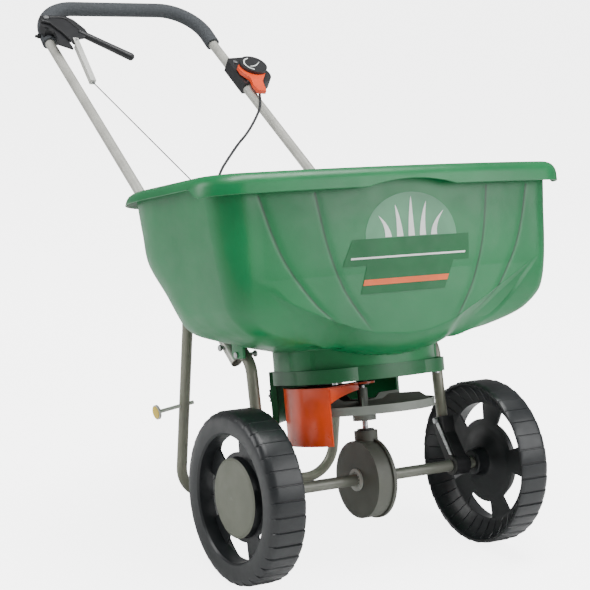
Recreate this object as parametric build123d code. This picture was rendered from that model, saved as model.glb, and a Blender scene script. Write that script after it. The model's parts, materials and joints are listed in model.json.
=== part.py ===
from build123d import *
import math
import os

# Broadcast spreader: wheels, axle and gearbox below, rotor under a plastic hopper, U handle behind.
# Everything is modelled in the level frame: origin on the axle centre, X to the right as seen from
# the front, Y to the rear, Z up along the rotor shaft. At rest the whole machine leans back on its
# rear stand, so each piece is turned by TILT about the axle and lifted by the wheel radius.

# ---------------------------------------------------------------- driving dimensions (mm, degrees)
WHEEL_R = 140.0
WHEEL_W = 60.0
WHEEL_X = 241.0
LUGS = 36
LUG_DEPTH = 4.0
SPOKES = 5
TREAD_R = WHEEL_R - LUG_DEPTH
RIM_OPEN_R = 101.0
HUB_DRUM_R = 64.0
HUB_R = 22.0
WALL = 3.0

AXLE_R = 9.5
AXLE_BORE_R = 7.5
AXLE_HALF = 254.0
RUN_FIT = 0.05
GAP = 0.4

TUBE_R = 9.5
TUBE_BORE_R = 8.0
GRIP_R = 14.5
GRIP_START = 2.0

LEG_X = 184.0
LEG_FOOT = (35.0, 71.0)
LEG_KNEE = (41.0, 206.0)
LEG_TOP = (70.0, 233.0)
STAND_X = 161.0
STAND_BAR = (374.5, -26.6)
STAND_KNEE = (286.0, 290.0)
STAND_TOP = (300.0, 445.0)
STAND_TOP_X = 171.0
HANDLE_FOOT = (188.0, 80.0, 210.0)
HANDLE_BEND = (192.0, 376.0, 526.0)
HANDLE_GRIP = (183.0, 722.0, 849.0)
HANDLE_TOP = (176.0, 794.0, 933.0)
HANDLE_BENDS = [200.0, 20.0, 85.0, 85.0, 20.0, 200.0]

GEARBOX_R = 64.0
GEARBOX_FLANGE_R = 67.0
GEARBOX_LEFT = -25.0
GEARBOX_SPLIT = 1.0
GEARBOX_RIGHT = 9.0
CROWN_TEETH = 48
PINION_TEETH = 12
CROWN_R = 51.0
PINION_TIP_R = 13.2
CROWN_TIP_X = -10.4
TOOTH_DEPTH = 3.6
PINION_LOW = 43.5

SHAFT_R = 4.75
SLEEVE_R = 8.5
ROTOR_R = 118.0
ROTOR_Z = 112.0
ROTOR_BAND = 14.0
VANE_TOP = 138.0
VANES = 5

BASE_LOW = 167.0
BASE_TOP = 189.0
FLOOR_T = 3.5
NECK_TOP = 222.0
RIM_LOW = 482.0
RIM_TOP = 500.0
RIM_FRONT_LOW = 467.0
LIP = 22.0
LIP_SHOULDER = 14
LIP_SLOPE = 12
DEFLECTOR_R = 144.0
DEFLECTOR_LOW = 102.0
DEFLECTOR_HALF_ANGLE = 58.0

SHIELD_R = 130.0
SHIELD_Z = 157.0
SHIELD_LOW = 66.0
SHIELD_FROM = 148.0
SHIELD_TO = 212.5

GATE_Z = 163.0
GATE_T = 3.0
GATE_HALF = 66.0

PORTS = [(-34.0, 52.0), (0.0, 60.0), (34.0, 52.0)]
PORT_R = 7.5
GATE_TRAVEL = 17.0
WINDOW_LEAN = 7.0
COTTER_IN = 3.4
BOSS_TOP = 79.0

# Controls, as (across, along the handle, off its plane).
LEVER_PIVOT = (-187.0, 35.0, 34.0)
LINK_PIVOT = (-154.0, -46.0, 34.0)
LINK_FOOT = (-161.0, -163.0, 20.0)
LEVER_ROOT = (-128.0, -17.0, 34.0)
LEVER_TIP = (-52.0, -102.0, 34.0)
LEVER_ARM_R = 8.0
CLAMP_BOLT = (23.0, 2.7)
DRUM = (212.0, -118.0)
DRUM_BODY = (219.0, -125.0)
DRUM_BODY_R = 33.0
HOUSING_LOW = -162.0
HOUSING_HIGH = -76.0
HOUSING_TOP = 14.0
HOUSING_UNDER = -11.0
HOUSING_SCREWS = ((189.0, -87.0), (190.0, -153.0))
LEVER_SEAT = 16.6
LEVER_T = 8.0

WIRE_R = 1.2
WIRE_KNEE = (52.0, 237.0, 315.0)
WIRE_FOOT = (51.0, 122.0, 170.0)
CLIP = (-38.0, 152.0, 172.0)
DIAL = (-78.0, 134.0, 146.0)

# Route of the edge control's cable, from the housing to its clip on the base.
SHEATH_R = 2.6
SHEATH_POINTS = [
    (206.0, 597.8, 743.9),
    (199.0, 580.1, 734.3),
    (189.0, 561.9, 718.6),
    (177.0, 542.6, 701.2),
    (158.0, 520.0, 680.0),
    (117.0, 497.0, 639.0),
    (80.0, 475.0, 615.0),
    (42.0, 450.0, 586.0),
    (3.0, 425.0, 554.0),
    (-24.0, 402.0, 502.0),
    (-38.0, 372.0, 446.0),
    (-44.0, 330.0, 394.0),
    (-46.0, 284.0, 344.0),
    (-45.0, 236.0, 290.0),
    (-41.0, 190.0, 236.0),
    (-38.0, 152.0, 178.0),
]

PIN_PLACE = (-165.0, 329.0, 137.0)
PIN_DROOP = 8.0

# Hopper sections: height, half width, front depth, front corner drop, rear depth,
# front corner radius, rear corner radius.
THROAT_RISE = 44.0
HOPPER_SECTIONS = [
    (BASE_TOP, 139.0, 105.0, 14.0, 108.0, 75.0, 85.0),
    (NECK_TOP, 139.0, 105.0, 14.0, 108.0, 75.0, 85.0),
    (236.0, 212.0, 122.0, 14.0, 58.0, 50.0, 60.0),
    (262.0, 271.0, 145.0, 18.0, 114.0, 50.0, 72.0),
    (296.0, 303.0, 162.0, 22.0, 145.0, 50.0, 120.0),
    (335.0, 311.0, 171.0, 23.0, 182.0, 50.0, 140.0),
    (377.0, 316.0, 174.0, 23.0, 220.0, 50.0, 145.0),
    (435.0, 321.0, 176.0, 23.0, 262.0, 50.0, 190.0),
    (RIM_TOP - WALL, 326.0, 177.0, 23.0, 296.0, 50.0, 230.0),
]

# ---------------------------------------------------------------- the resting attitude
STAND_REACH = math.hypot(*STAND_BAR)
STAND_SLOPE = math.degrees(math.atan2(STAND_BAR[1], STAND_BAR[0]))
TILT = STAND_SLOPE + math.degrees(math.asin((WHEEL_R - TUBE_R) / STAND_REACH))


def rear_reach(point_y, point_z):
    """Distance behind the axle, on the ground, of a point of the level frame."""
    lean = math.radians(TILT)
    return point_y * math.cos(lean) + point_z * math.sin(lean)


SHIFT_Y = (WHEEL_R - rear_reach(HANDLE_TOP[1], HANDLE_TOP[2]) - GRIP_R) / 2
REST = Location((0, SHIFT_Y, WHEEL_R), (-TILT, 0, 0))
UPRIGHT = Location((0, SHIFT_Y, WHEEL_R))

# ---------------------------------------------------------------- the handle's own plane
HANDLE_RUN = math.hypot(HANDLE_GRIP[1] - HANDLE_BEND[1], HANDLE_GRIP[2] - HANDLE_BEND[2])
ALONG = Vector(
    0,
    (HANDLE_GRIP[1] - HANDLE_BEND[1]) / HANDLE_RUN,
    (HANDLE_GRIP[2] - HANDLE_BEND[2]) / HANDLE_RUN,
)
HANDLE_PLANE = Plane(
    origin=(0, HANDLE_GRIP[1], HANDLE_GRIP[2]),
    x_dir=(1, 0, 0),
    z_dir=(0, -ALONG.Z, ALONG.Y),
)


def on_handle(x, along, off=0.0):
    """Point of the level frame: x across, along the handle above the grip's end, off its plane."""
    return HANDLE_PLANE.from_local_coords(Vector(x, along, off))


# ---------------------------------------------------------------- small helpers
def bar(start, end, radius):
    """Solid round bar between two points."""
    direction = Vector(*end) - Vector(*start)
    plane = Plane(origin=start, z_dir=direction)
    return extrude(plane * Circle(radius), direction.length)


def ring(x_low, x_high, outer, inner):
    """Ring or disc around the X axis."""
    plane = Plane(origin=(x_low, 0, 0), x_dir=(0, 1, 0), z_dir=(1, 0, 0))
    face = Circle(outer) if inner <= 0 else Circle(outer) - Circle(inner)
    return extrude(plane * face, x_high - x_low)


def drum(z_low, z_high, outer, inner=0.0, at=(0, 0)):
    """Ring or disc around an upright axis."""
    face = Circle(outer) if inner <= 0 else Circle(outer) - Circle(inner)
    return extrude(Plane(origin=(at[0], at[1], z_low)) * face, z_high - z_low)


def block(low, high):
    """Box between two corners."""
    size = [high[i] - low[i] for i in range(3)]
    centre = [(high[i] + low[i]) / 2 for i in range(3)]
    return Pos(*centre) * Box(*size)


def tube_along(points, radii, outer=TUBE_R, inner=TUBE_BORE_R):
    """Round tube along straight runs joined by tangent arcs."""
    path = FilletPolyline(*points, radius=radii) if radii else Polyline(*points)
    start = Plane(origin=path @ 0, z_dir=path % 0)
    solid = sweep(start * Circle(outer), path=path)
    if inner > 0:
        solid -= sweep(start * Circle(inner), path=path)
    return solid


def sector(z_low, z_high, outer, inner, from_deg, to_deg):
    """Upright curved wall between two angles about the rotor shaft."""
    def spot(radius, angle):
        return (radius * math.cos(math.radians(angle)), radius * math.sin(math.radians(angle)))
    middle = (from_deg + to_deg) / 2
    outline = [
        ThreePointArc(spot(outer, from_deg), spot(outer, middle), spot(outer, to_deg)),
        Line(spot(outer, to_deg), spot(inner, to_deg)),
        ThreePointArc(spot(inner, to_deg), spot(inner, middle), spot(inner, from_deg)),
        Line(spot(inner, from_deg), spot(outer, from_deg)),
    ]
    return extrude(Plane.XY.offset(z_low) * make_face(outline), z_high - z_low)


def mirrored(solid):
    """The same piece on the other side of the machine."""
    return mirror(solid, about=Plane.YZ)


def hex_bolt(start, end, shank_r, head_r, head_t):
    """Through bolt with a hexagon head at its start and a hexagon nut at its end."""
    direction = (Vector(*end) - Vector(*start)).normalized()
    head_plane = Plane(origin=Vector(*start) - direction * head_t, z_dir=direction)
    nut_plane = Plane(origin=end, z_dir=direction)
    solid = bar(start, end, shank_r)
    solid += extrude(head_plane * RegularPolygon(head_r, 6), head_t)
    solid += extrude(nut_plane * RegularPolygon(head_r, 6), head_t)
    return solid


# ---------------------------------------------------------------- hopper and base
def bowl_outline(height, half, front, drop, rear, front_r, rear_r):
    """Closed outline of the hopper at one height: bowed front, wide rear corners."""
    diagonal = math.sqrt(0.5)
    fx = half - front_r
    fy = front - drop
    rx = half - rear_r
    ry = rear - rear_r
    edges = [
        ThreePointArc((-fx, -fy), (0, -front), (fx, -fy)),
        ThreePointArc(
            (fx, -fy),
            (fx + front_r * diagonal, -fy + front_r * (1 - diagonal)),
            (half, -fy + front_r),
        ),
        Line((half, -fy + front_r), (half, ry)),
        ThreePointArc(
            (half, ry), (rx + rear_r * diagonal, ry + rear_r * diagonal), (rx, rear)
        ),
        Line((rx, rear), (-rx, rear)),
        ThreePointArc(
            (-rx, rear), (-rx - rear_r * diagonal, ry + rear_r * diagonal), (-half, ry)
        ),
        Line((-half, ry), (-half, -fy + front_r)),
        ThreePointArc(
            (-half, -fy + front_r),
            (-fx - front_r * diagonal, -fy + front_r * (1 - diagonal)),
            (-fx, -fy),
        ),
    ]
    return Plane.XY.offset(height) * make_face(edges)


def bowl_solid(inset, low_extra=0.0, high_extra=0.0):
    """The hopper's form, shrunk by inset all round."""
    faces = []
    for index, (height, half, front, drop, rear, front_r, rear_r) in enumerate(HOPPER_SECTIONS):
        if index == 0:
            height -= low_extra
        if index == len(HOPPER_SECTIONS) - 1:
            height += high_extra
        faces.append(
            bowl_outline(
                height,
                half - inset,
                front - inset,
                drop,
                rear - inset,
                front_r - inset,
                rear_r - inset,
            )
        )
    height, half, front, drop, rear, front_r, rear_r = HOPPER_SECTIONS[1]
    throat = bowl_outline(
        height,
        half - inset,
        front - inset,
        drop,
        rear - inset,
        front_r - inset,
        rear_r - inset,
    )
    return loft(faces, ruled=True) + extrude(throat, THROAT_RISE)


def rim_outline(height, grow):
    """The hopper's top outline, grown outward."""
    _, half, front, drop, rear, front_r, rear_r = HOPPER_SECTIONS[-1]
    return bowl_outline(
        height, half + grow, front + grow, drop, rear + grow * 0.7, front_r + grow, rear_r + grow
    )


def lip_form(inset):
    """Block under the lip's skin, sloped inward towards its top."""
    low = rim_outline(RIM_FRONT_LOW, LIP - inset)
    middle = rim_outline(RIM_TOP - LIP_SHOULDER - inset, LIP - 2 - inset)
    high = rim_outline(RIM_TOP - inset, LIP - LIP_SLOPE - inset)
    return loft([low, middle, high], ruled=True)


def hopper():
    """Open plastic hopper with a turned-down lip, deeper at the front."""
    shell = bowl_solid(0.0)
    lip = lip_form(0) - lip_form(WALL)
    behind = block((-400, -110, RIM_FRONT_LOW), (400, 400, RIM_LOW))
    arch = extrude(
        Plane.XZ * make_face(Polyline((-82, 460), (-60, 478), (60, 478), (82, 460), close=True)),
        amount=260,
    )
    lip -= behind
    lip -= arch
    shell += lip
    shell -= bowl_solid(WALL, 1.0, 4.0)
    lugs = Part()
    for side in (-1, 1):
        lugs += block((side * 192 - 9, 255, 445), (side * 192 + 9, 300, 482))
        x = side * (LEG_X + TUBE_R + 7)
        lugs += block((x - 2.5, 28, 216), (x + 2.5, 66, 268))
        x = side * (HANDLE_FOOT[0] - TUBE_R - 3.5)
        lugs += block((x - 2.5, 90, 228), (x + 2.5, 118, 290))
    lugs -= bowl_solid(WALL / 2, 1.0, 4.0)
    for side in (-1, 1):
        lugs -= handle_line_cutter(side)
    return shell + lugs - frame_bolts() - stand_bolts()


def handle_line_cutter(side):
    """Round space that the handle tube passes through."""
    foot = (side * HANDLE_FOOT[0], HANDLE_FOOT[1], HANDLE_FOOT[2])
    bend = (side * HANDLE_BEND[0], HANDLE_BEND[1], HANDLE_BEND[2])
    return bar(foot, bend, TUBE_R + GAP)


def hopper_base():
    """Shallow base under the neck: collar, floor with outlets, curved rear deflector."""
    _, half, front, drop, rear, front_r, rear_r = HOPPER_SECTIONS[0]
    outer = bowl_outline(BASE_LOW, half + 2, front + 2, drop, rear + 2, front_r, rear_r)
    inner = bowl_outline(BASE_LOW + FLOOR_T, half - 4, front - 4, drop, rear - 4, front_r, rear_r)
    base = extrude(outer, BASE_TOP - BASE_LOW) - extrude(inner, BASE_TOP)
    base -= drum(BASE_LOW - 1, BASE_LOW + FLOOR_T + 1, 12.0)
    for x, y in PORTS:
        base -= drum(BASE_LOW - 1, BASE_LOW + FLOOR_T + 1, PORT_R, at=(x, y))
    low = 90 - DEFLECTOR_HALF_ANGLE
    high = 90 + DEFLECTOR_HALF_ANGLE
    wall = sector(DEFLECTOR_LOW, BASE_LOW, DEFLECTOR_R, DEFLECTOR_R - WALL, low, high)
    for angle in (low, high):
        rib = Rot(0, 0, angle) * block((DEFLECTOR_R - 2, -1.5, DEFLECTOR_LOW - 2), (DEFLECTOR_R + 8, 1.5, BASE_TOP))
        wall += rib
    wall += sector(BASE_LOW, BASE_LOW + WALL, DEFLECTOR_R, 100, low, high)
    wall -= block((30, 109, 153), (72, 160, BASE_LOW + WALL + 1))
    wall += block((CLIP[0] - 8, CLIP[1] - 14, BASE_LOW), (CLIP[0] + 8, CLIP[1] + 8, CLIP[2] + 8))
    wall += bar((DIAL[0], 116, DIAL[2]), (DIAL[0], DIAL[1] - GAP, DIAL[2]), 6.0)
    last = SHEATH_POINTS[-2]
    wall -= bar(SHEATH_POINTS[-1], last, SHEATH_R)
    neck = extrude(bowl_outline(BASE_TOP - 60, half, front, drop, rear, front_r, rear_r), 200)
    base += wall - (neck & block((-200, -200, BASE_LOW), (200, 200, BASE_TOP)))
    return base


def base_screws():
    """Screws up through the base's collar corners into the neck."""
    solid = Part()
    for x, y in ((-100, 70), (100, 70), (-100, -75), (100, -75)):
        solid += drum(BASE_LOW - 3, BASE_LOW, 5.0, at=(x, y))
    return solid


def gate_guide():
    """Two rails under the base that carry the shutoff plate."""
    solid = Part()
    for side in (-1, 1):
        inner = side * (GATE_HALF + GAP)
        outer = side * (GATE_HALF + 6)
        hook = side * (GATE_HALF - 5)
        under = GATE_Z - GAP
        lows = (min(inner, outer), 18, under - 2.5)
        highs = (max(inner, outer), 96, BASE_LOW)
        solid += block(lows, highs)
        solid += block((min(hook, outer), 18, under - 2.5), (max(hook, outer), 96, under))
    return solid


def gate_plate():
    """Sliding shutoff plate, closed at rest, with an ear for the control wire."""
    plate = block((-GATE_HALF, 22, GATE_Z), (GATE_HALF, 96, GATE_Z + GATE_T))
    plate += block((38, 96, GATE_Z), (64, 112, GATE_Z + GATE_T))
    for x, y in PORTS:
        plate -= drum(GATE_Z - 1, GATE_Z + GATE_T + 1, PORT_R, at=(x, y - GATE_TRAVEL))
    return plate


# ---------------------------------------------------------------- frame tubes
def side_points(side, points):
    """Points of one side's tube, given as (x, y, z) for the right side."""
    return [(side * x, y, z) for x, y, z in points]


def leg_tube(side):
    """Front leg: foot at the axle bracket, knee under the hopper, top beside the handle tube."""
    points = side_points(side, [(LEG_X, y, z) for y, z in (LEG_FOOT, LEG_KNEE, LEG_TOP)])
    return tube_along(points, [40.0]) - frame_bolts() - bracket_bolts()


def rear_stand():
    """One bent tube: both rear legs and the bar that rests on the ground."""
    half = [
        (STAND_TOP_X, STAND_TOP[0], STAND_TOP[1]),
        (STAND_X + 1, STAND_KNEE[0], STAND_KNEE[1]),
        (STAND_X, STAND_BAR[0], STAND_BAR[1]),
    ]
    points = side_points(-1, half) + side_points(1, half[::-1])
    return tube_along(points, [120.0, 55.0, 55.0, 120.0]) - pin_hole() - stand_bolts()


def handle_points():
    """Centre line of the upper handle, from the left open end to the right one."""
    half = [HANDLE_FOOT, HANDLE_BEND, HANDLE_GRIP, HANDLE_TOP]
    return side_points(-1, half) + side_points(1, half[::-1])


def handle_tube():
    """U handle of one tube, open at both lower ends."""
    tube = tube_along(handle_points(), HANDLE_BENDS)
    return tube - frame_bolts() - stand_bolts() - clamp_bolt()


def foam_grip():
    """Foam sleeve round the handle's top bend."""
    grip = Vector(*HANDLE_GRIP)
    start = grip + (Vector(*HANDLE_TOP) - grip).normalized() * GRIP_START
    half = [tuple(start), HANDLE_TOP]
    points = side_points(-1, half) + side_points(1, half[::-1])
    path = FilletPolyline(*points, radius=HANDLE_BENDS[2:-2])
    plane = Plane(origin=path @ 0, z_dir=path % 0)
    return sweep(plane * Circle(GRIP_R), path=path)


def foam_sleeve():
    """The grip with the handle tube's space and the saddle bolt's hole cut out of it."""
    core = tube_along(handle_points(), HANDLE_BENDS, outer=TUBE_R + RUN_FIT, inner=0)
    return foam_grip() - core - clamp_bolt()


def frame_bolts():
    """Bolts that hang the leg tubes and the handle tubes' feet on the hopper's lugs."""
    solid = Part()
    for side in (-1, 1):
        for y, z in ((52.0, 223.0), (104.0, 236.0)):
            start = (side * (LEG_X - 14), y, z)
            end = (side * (LEG_X + TUBE_R + 8), y, z)
            solid += hex_bolt(start, end, 3.0, 5.5, 4.0)
    return solid


def stand_bolts():
    """Bolts through the stand's tops, the handle tubes and the hopper's rear bosses."""
    solid = Part()
    for side in (-1, 1):
        y = HANDLE_BEND[1] - 76
        z = HANDLE_BEND[2] - 81
        solid += hex_bolt((side * 158, y, z), (side * 204, y, z), 3.0, 6.0, 4.5)
    return solid


# ---------------------------------------------------------------- axle supports
def axle_bracket(side):
    """Moulded bracket from the leg's foot down to the axle bearing."""
    inner = LEG_X - 14
    outer = LEG_X + 14
    collar = ring(inner, outer, 17.0, 12.5)
    outline = Polyline((-14, 6), (16, 56), (20, 84), (50, 80), (44, 52), (16, -4), close=True)
    web = extrude(
        Plane(origin=(LEG_X - 11, 0, 0), x_dir=(0, 1, 0), z_dir=(1, 0, 0)) * make_face(outline), 22
    )
    web -= ring(inner - 1, outer + 1, 14.0, 0)
    solid = collar + web
    leg_low = (LEG_X, LEG_FOOT[0], LEG_FOOT[1])
    leg_high = (LEG_X, LEG_KNEE[0], LEG_KNEE[1])
    solid -= bar(leg_low, leg_high, TUBE_R)
    solid -= bracket_bolts()
    return solid if side > 0 else mirrored(solid)


def axle_bush(side):
    """Plain bearing between the axle bracket and the turning axle."""
    solid = ring(LEG_X - 18, LEG_X + 18, 12.5, AXLE_R + RUN_FIT)
    solid += ring(LEG_X - 18, LEG_X - 14, 16.0, 12.4)
    return solid if side > 0 else mirrored(solid)


def leg_strap(side):
    """Thin steel strap on the leg's inner side, down to the axle collar."""
    outline = Polyline((-1, 17.5), (6, 17.5), (42, 78), (34, 82), close=True)
    plane = Plane(origin=(LEG_X - 14, 0, 0), x_dir=(0, 1, 0), z_dir=(1, 0, 0))
    solid = extrude(plane * make_face(outline), 2.0) - bracket_bolts()
    return solid if side > 0 else mirrored(solid)


def bracket_bolts():
    """Bolts through each leg's foot, its bracket and its strap."""
    solid = Part()
    for side in (-1, 1):
        y, z = 36.0, 76.0
        solid += hex_bolt((side * (LEG_X - 14), y, z), (side * (LEG_X + 11), y, z), 2.5, 5.0, 3.5)
    return solid


# ---------------------------------------------------------------- wheels
def tread_outline():
    """Saw-toothed outline of the tread: each lug is full height, then ramps into a groove."""
    pitch = 360.0 / LUGS
    points = []
    for index in range(LUGS):
        start = -90.0 + index * pitch
        for share, radius in (
            (0.0, WHEEL_R),
            (0.55, WHEEL_R),
            (0.9, WHEEL_R - LUG_DEPTH * 0.6),
            (0.9, TREAD_R),
            (1.0, TREAD_R),
        ):
            angle = math.radians(start + share * pitch)
            points.append((radius * math.cos(angle), radius * math.sin(angle)))
    return Polyline(*points, close=True)


def wheel(side, bore):
    """One-piece moulded wheel, open on its inner side, with five windows in its web."""
    plane = Plane(origin=(-WHEEL_W / 2, 0, 0), x_dir=(0, 1, 0), z_dir=(1, 0, 0))
    outer_x = WHEEL_W / 2
    tread = extrude(plane * make_face(tread_outline()), WHEEL_W)
    tread -= ring(-outer_x - 1, outer_x - WALL, TREAD_R - WALL, 0)
    tread -= ring(outer_x - WALL - 1, outer_x + 1, RIM_OPEN_R, 0)
    tread -= shoulder_cutter()
    well = ring(2.0, outer_x, RIM_OPEN_R + WALL, RIM_OPEN_R)
    web = ring(2.0, 2.0 + WALL, RIM_OPEN_R + WALL, bore)
    web += ring(2.0, 17.0, HUB_DRUM_R, HUB_DRUM_R - WALL)
    boss = ring(-outer_x, 5.0, HUB_R, bore)
    solid = tread + well + web + boss
    for index in range(SPOKES):
        solid -= window_cutter(index * 360.0 / SPOKES)
    for index in range(LUGS // 2):
        solid += Rot(index * 720.0 / LUGS, 0, 0) * block(
            (-22, -1, RIM_OPEN_R + 1), (outer_x - 2, 1, TREAD_R - WALL + 1)
        )
    for index in range(SPOKES):
        solid += Rot(36 - WINDOW_LEAN + index * 360.0 / SPOKES, 0, 0) * block(
            (-20, -1.5, HUB_R - 1), (3, 1.5, RIM_OPEN_R + 1)
        )
    solid = Pos(WHEEL_X, 0, 0) * solid
    return solid if side > 0 else mirrored(solid)


def shoulder_cutter():
    """Ring that rounds the tread off towards the outer face."""
    half = WHEEL_W / 2
    profile = make_face(
        Polyline(
            (half - 9, WHEEL_R + 2), (half - 9, WHEEL_R), (half - 3, WHEEL_R - 2.5),
            (half, WHEEL_R - 7), (half + 2, WHEEL_R - 7), (half + 2, WHEEL_R + 2), close=True
        )
    )
    return revolve(profile, axis=Axis.X)


def window_cutter(turn):
    """One rounded window between two spokes."""
    half_span = 27.0
    inner = HUB_DRUM_R + 4
    outer = RIM_OPEN_R - 2
    face = sector(0, 30, outer, inner, 90 - half_span, 90 + half_span)
    face = Rot(0, 90, 0) * face
    face = Rot(-WINDOW_LEAN + turn, 0, 0) * Pos(-8, 0, 0) * face
    return face


def hubcap(side):
    """Shallow domed cap pressed on the hub drum."""
    seat = HUB_DRUM_R - WALL - 0.2
    dome = [(WHEEL_X + 23.5 - 4.0 * (radius / 60.0) ** 2, radius) for radius in (0, 20, 40, 55, 60)]
    outline = [(WHEEL_X + 15, 0)] + dome
    outline += [(WHEEL_X + 17.3, HUB_DRUM_R), (WHEEL_X + 17.3, seat), (WHEEL_X + 15, seat)]
    solid = revolve(make_face(Polyline(*outline, close=True)), axis=Axis.X)
    return solid if side > 0 else mirrored(solid)


# ---------------------------------------------------------------- axle and gearbox
def axle_tube():
    """Steel axle with a cross hole at each end for its cotter pin."""
    solid = ring(-AXLE_HALF, AXLE_HALF, AXLE_R, AXLE_BORE_R)
    for side in (-1, 1):
        x = side * (AXLE_HALF - COTTER_IN)
        solid -= bar((x, 0, -12), (x, 0, 12), 1.6)
    return solid


def axle_cotters():
    """Cotter pins through the axle's ends."""
    solid = Part()
    for side in (-1, 1):
        x = side * (AXLE_HALF - COTTER_IN)
        solid += bar((x, 0, -13), (x, 0, 13), 1.6)
    return solid


def axle_washers():
    """Flat washers between the wheel bosses and the cotter pins."""
    solid = Part()
    for low in (WHEEL_X + 5.2, -WHEEL_X - 7.2):
        solid += ring(low, low + 2.0, 16.0, AXLE_R)
    return solid


def crown_gear():
    """Face gear fixed on the axle; its teeth point at the pinion."""
    face_x = CROWN_TIP_X - TOOTH_DEPTH
    disc = ring(face_x - 4.0, face_x, CROWN_R + 1, AXLE_R)
    disc += ring(face_x - 7.0, face_x - 3.5, 16.0, AXLE_R)
    tooth_low = CROWN_R - 6.5
    outline = Polyline(
        (face_x - 0.5, -1.4), (CROWN_TIP_X, -0.8), (CROWN_TIP_X, 0.8), (face_x - 0.5, 1.4), close=True
    )
    tooth = extrude(Plane.XY.offset(tooth_low) * make_face(outline), 6.5)
    pitch = 360.0 / CROWN_TEETH
    for index in range(CROWN_TEETH):
        disc += Rot((index + 0.5) * pitch, 0, 0) * tooth
    return disc


def bevel_pinion():
    """Small gear on the rotor shaft that the crown gear drives."""
    low = PINION_LOW
    high = CROWN_R + 1.0
    root = PINION_TIP_R - TOOTH_DEPTH
    solid = drum(low, high, root, SHAFT_R)
    outline = Polyline(
        (root - 0.5, -1.35), (PINION_TIP_R, -0.85), (PINION_TIP_R, 0.85), (root - 0.5, 1.35), close=True
    )
    tooth = extrude(Plane.XY.offset(low) * make_face(outline), high - low)
    pitch = 360.0 / PINION_TEETH
    for index in range(PINION_TEETH):
        solid += Rot(0, 0, index * pitch) * tooth
    return solid


def clutch_ring():
    """Toothed ring on the axle beside the gearbox's left face."""
    solid = ring(GEARBOX_LEFT - 4.0, GEARBOX_LEFT - 0.5, 18.5, AXLE_R)
    notches = 12
    for index in range(notches):
        angle = 360.0 / notches * index
        notch = block((GEARBOX_LEFT - 5.0, -1.6, AXLE_R - 1), (GEARBOX_LEFT - 2.0, 1.6, 13.5))
        solid -= Rot(angle, 0, 0) * notch
    return solid


def gearbox_body(low_x, high_x, outer):
    """One half of the gearbox's disc with the half of the shaft boss that lies on its side."""
    solid = ring(low_x, high_x, outer, 0)
    boss = drum(GEARBOX_R - 12, BOSS_TOP, 19.5)
    boss &= block((low_x, -30, 0), (high_x, 30, 100))
    return solid + boss


def gearbox_bores():
    """Spaces inside the gearbox: gears, axle and rotor shaft."""
    space = ring(GEARBOX_LEFT + WALL, GEARBOX_RIGHT - WALL, GEARBOX_R - WALL, 0)
    space += ring(GEARBOX_LEFT - 1, GEARBOX_RIGHT + 20, AXLE_R + RUN_FIT, 0)
    space += drum(PINION_LOW - 0.6, CROWN_R + 1.6, PINION_TIP_R + 0.8)
    space += drum(40, BOSS_TOP - 9, 9.0)
    space += drum(BOSS_TOP - 9, BOSS_TOP + 1, 12.0)
    return space


def gearbox_left_shell():
    """Deep half of the gearbox."""
    return gearbox_body(GEARBOX_LEFT, GEARBOX_SPLIT, GEARBOX_R) - gearbox_bores()


def gearbox_right_shell():
    """Shallow half of the gearbox with its flange."""
    solid = gearbox_body(GEARBOX_SPLIT, GEARBOX_RIGHT, GEARBOX_FLANGE_R)
    solid += drum(PINION_LOW - 3, BOSS_TOP, 19.5) & block((GEARBOX_SPLIT, -30, 0), (30, 30, 100))
    solid += ring(GEARBOX_RIGHT - 1, GEARBOX_RIGHT + 8, 16.0, 0)
    solid -= gearbox_bores()
    solid -= ring(GEARBOX_SPLIT - 1, GEARBOX_SPLIT + 2.5, GEARBOX_FLANGE_R + 1, GEARBOX_R - 1)
    return solid


def gearbox_screws():
    """Screws that close the gearbox, heads on its right side."""
    solid = Part()
    for angle in (45, 135, 225, 315):
        y = 50.0 * math.cos(math.radians(angle))
        z = 50.0 * math.sin(math.radians(angle))
        solid += bar((GEARBOX_RIGHT, y, z), (GEARBOX_RIGHT + 2.5, y, z), 3.6)
    return solid


# ---------------------------------------------------------------- rotor
def rotor_shaft():
    """Steel shaft from the pinion up through the base into the hopper."""
    return drum(CROWN_R - 9, 206, SHAFT_R)


def lower_bearing():
    """Plain bearing in the gearbox's top boss."""
    return drum(BOSS_TOP - 9, BOSS_TOP, 12.0, SHAFT_R + RUN_FIT) + drum(
        BOSS_TOP, BOSS_TOP + 3, 14.0, SHAFT_R + RUN_FIT
    )


def upper_bearing():
    """Plain bearing in the base's floor."""
    solid = drum(BASE_LOW, BASE_LOW + FLOOR_T, 12.0, SHAFT_R + RUN_FIT)
    return solid + drum(BASE_LOW + FLOOR_T, BASE_LOW + FLOOR_T + 4, 15.0, SHAFT_R + RUN_FIT)


def rotor_disc():
    """Spreading disc: rim band, plate, hub and clipped upright vanes."""
    plate_z = ROTOR_Z + 4
    solid = drum(plate_z, plate_z + 2.5, ROTOR_R - 1, 0)
    solid += drum(ROTOR_Z, ROTOR_Z + ROTOR_BAND, ROTOR_R, ROTOR_R - 2.5)
    solid += drum(96, plate_z + 1, 19.5)
    solid += drum(plate_z, 150, SLEEVE_R)
    vane = extrude(
        Plane.XZ.offset(-1.2)
        * make_face(
            Polyline(
                (6, plate_z), (6, plate_z + 12), (34, VANE_TOP - 8), (46, VANE_TOP), (98, VANE_TOP),
                (ROTOR_R - 3, VANE_TOP - 12), (ROTOR_R - 1, plate_z), close=True
            )
        ),
        2.4,
    )
    for index in range(VANES):
        solid += Rot(0, 0, 20 + index * 360.0 / VANES) * vane
    solid -= drum(80, 160, SHAFT_R)
    solid -= bar((-30, 0, 101), (30, 0, 101), 1.5)
    return solid


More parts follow.
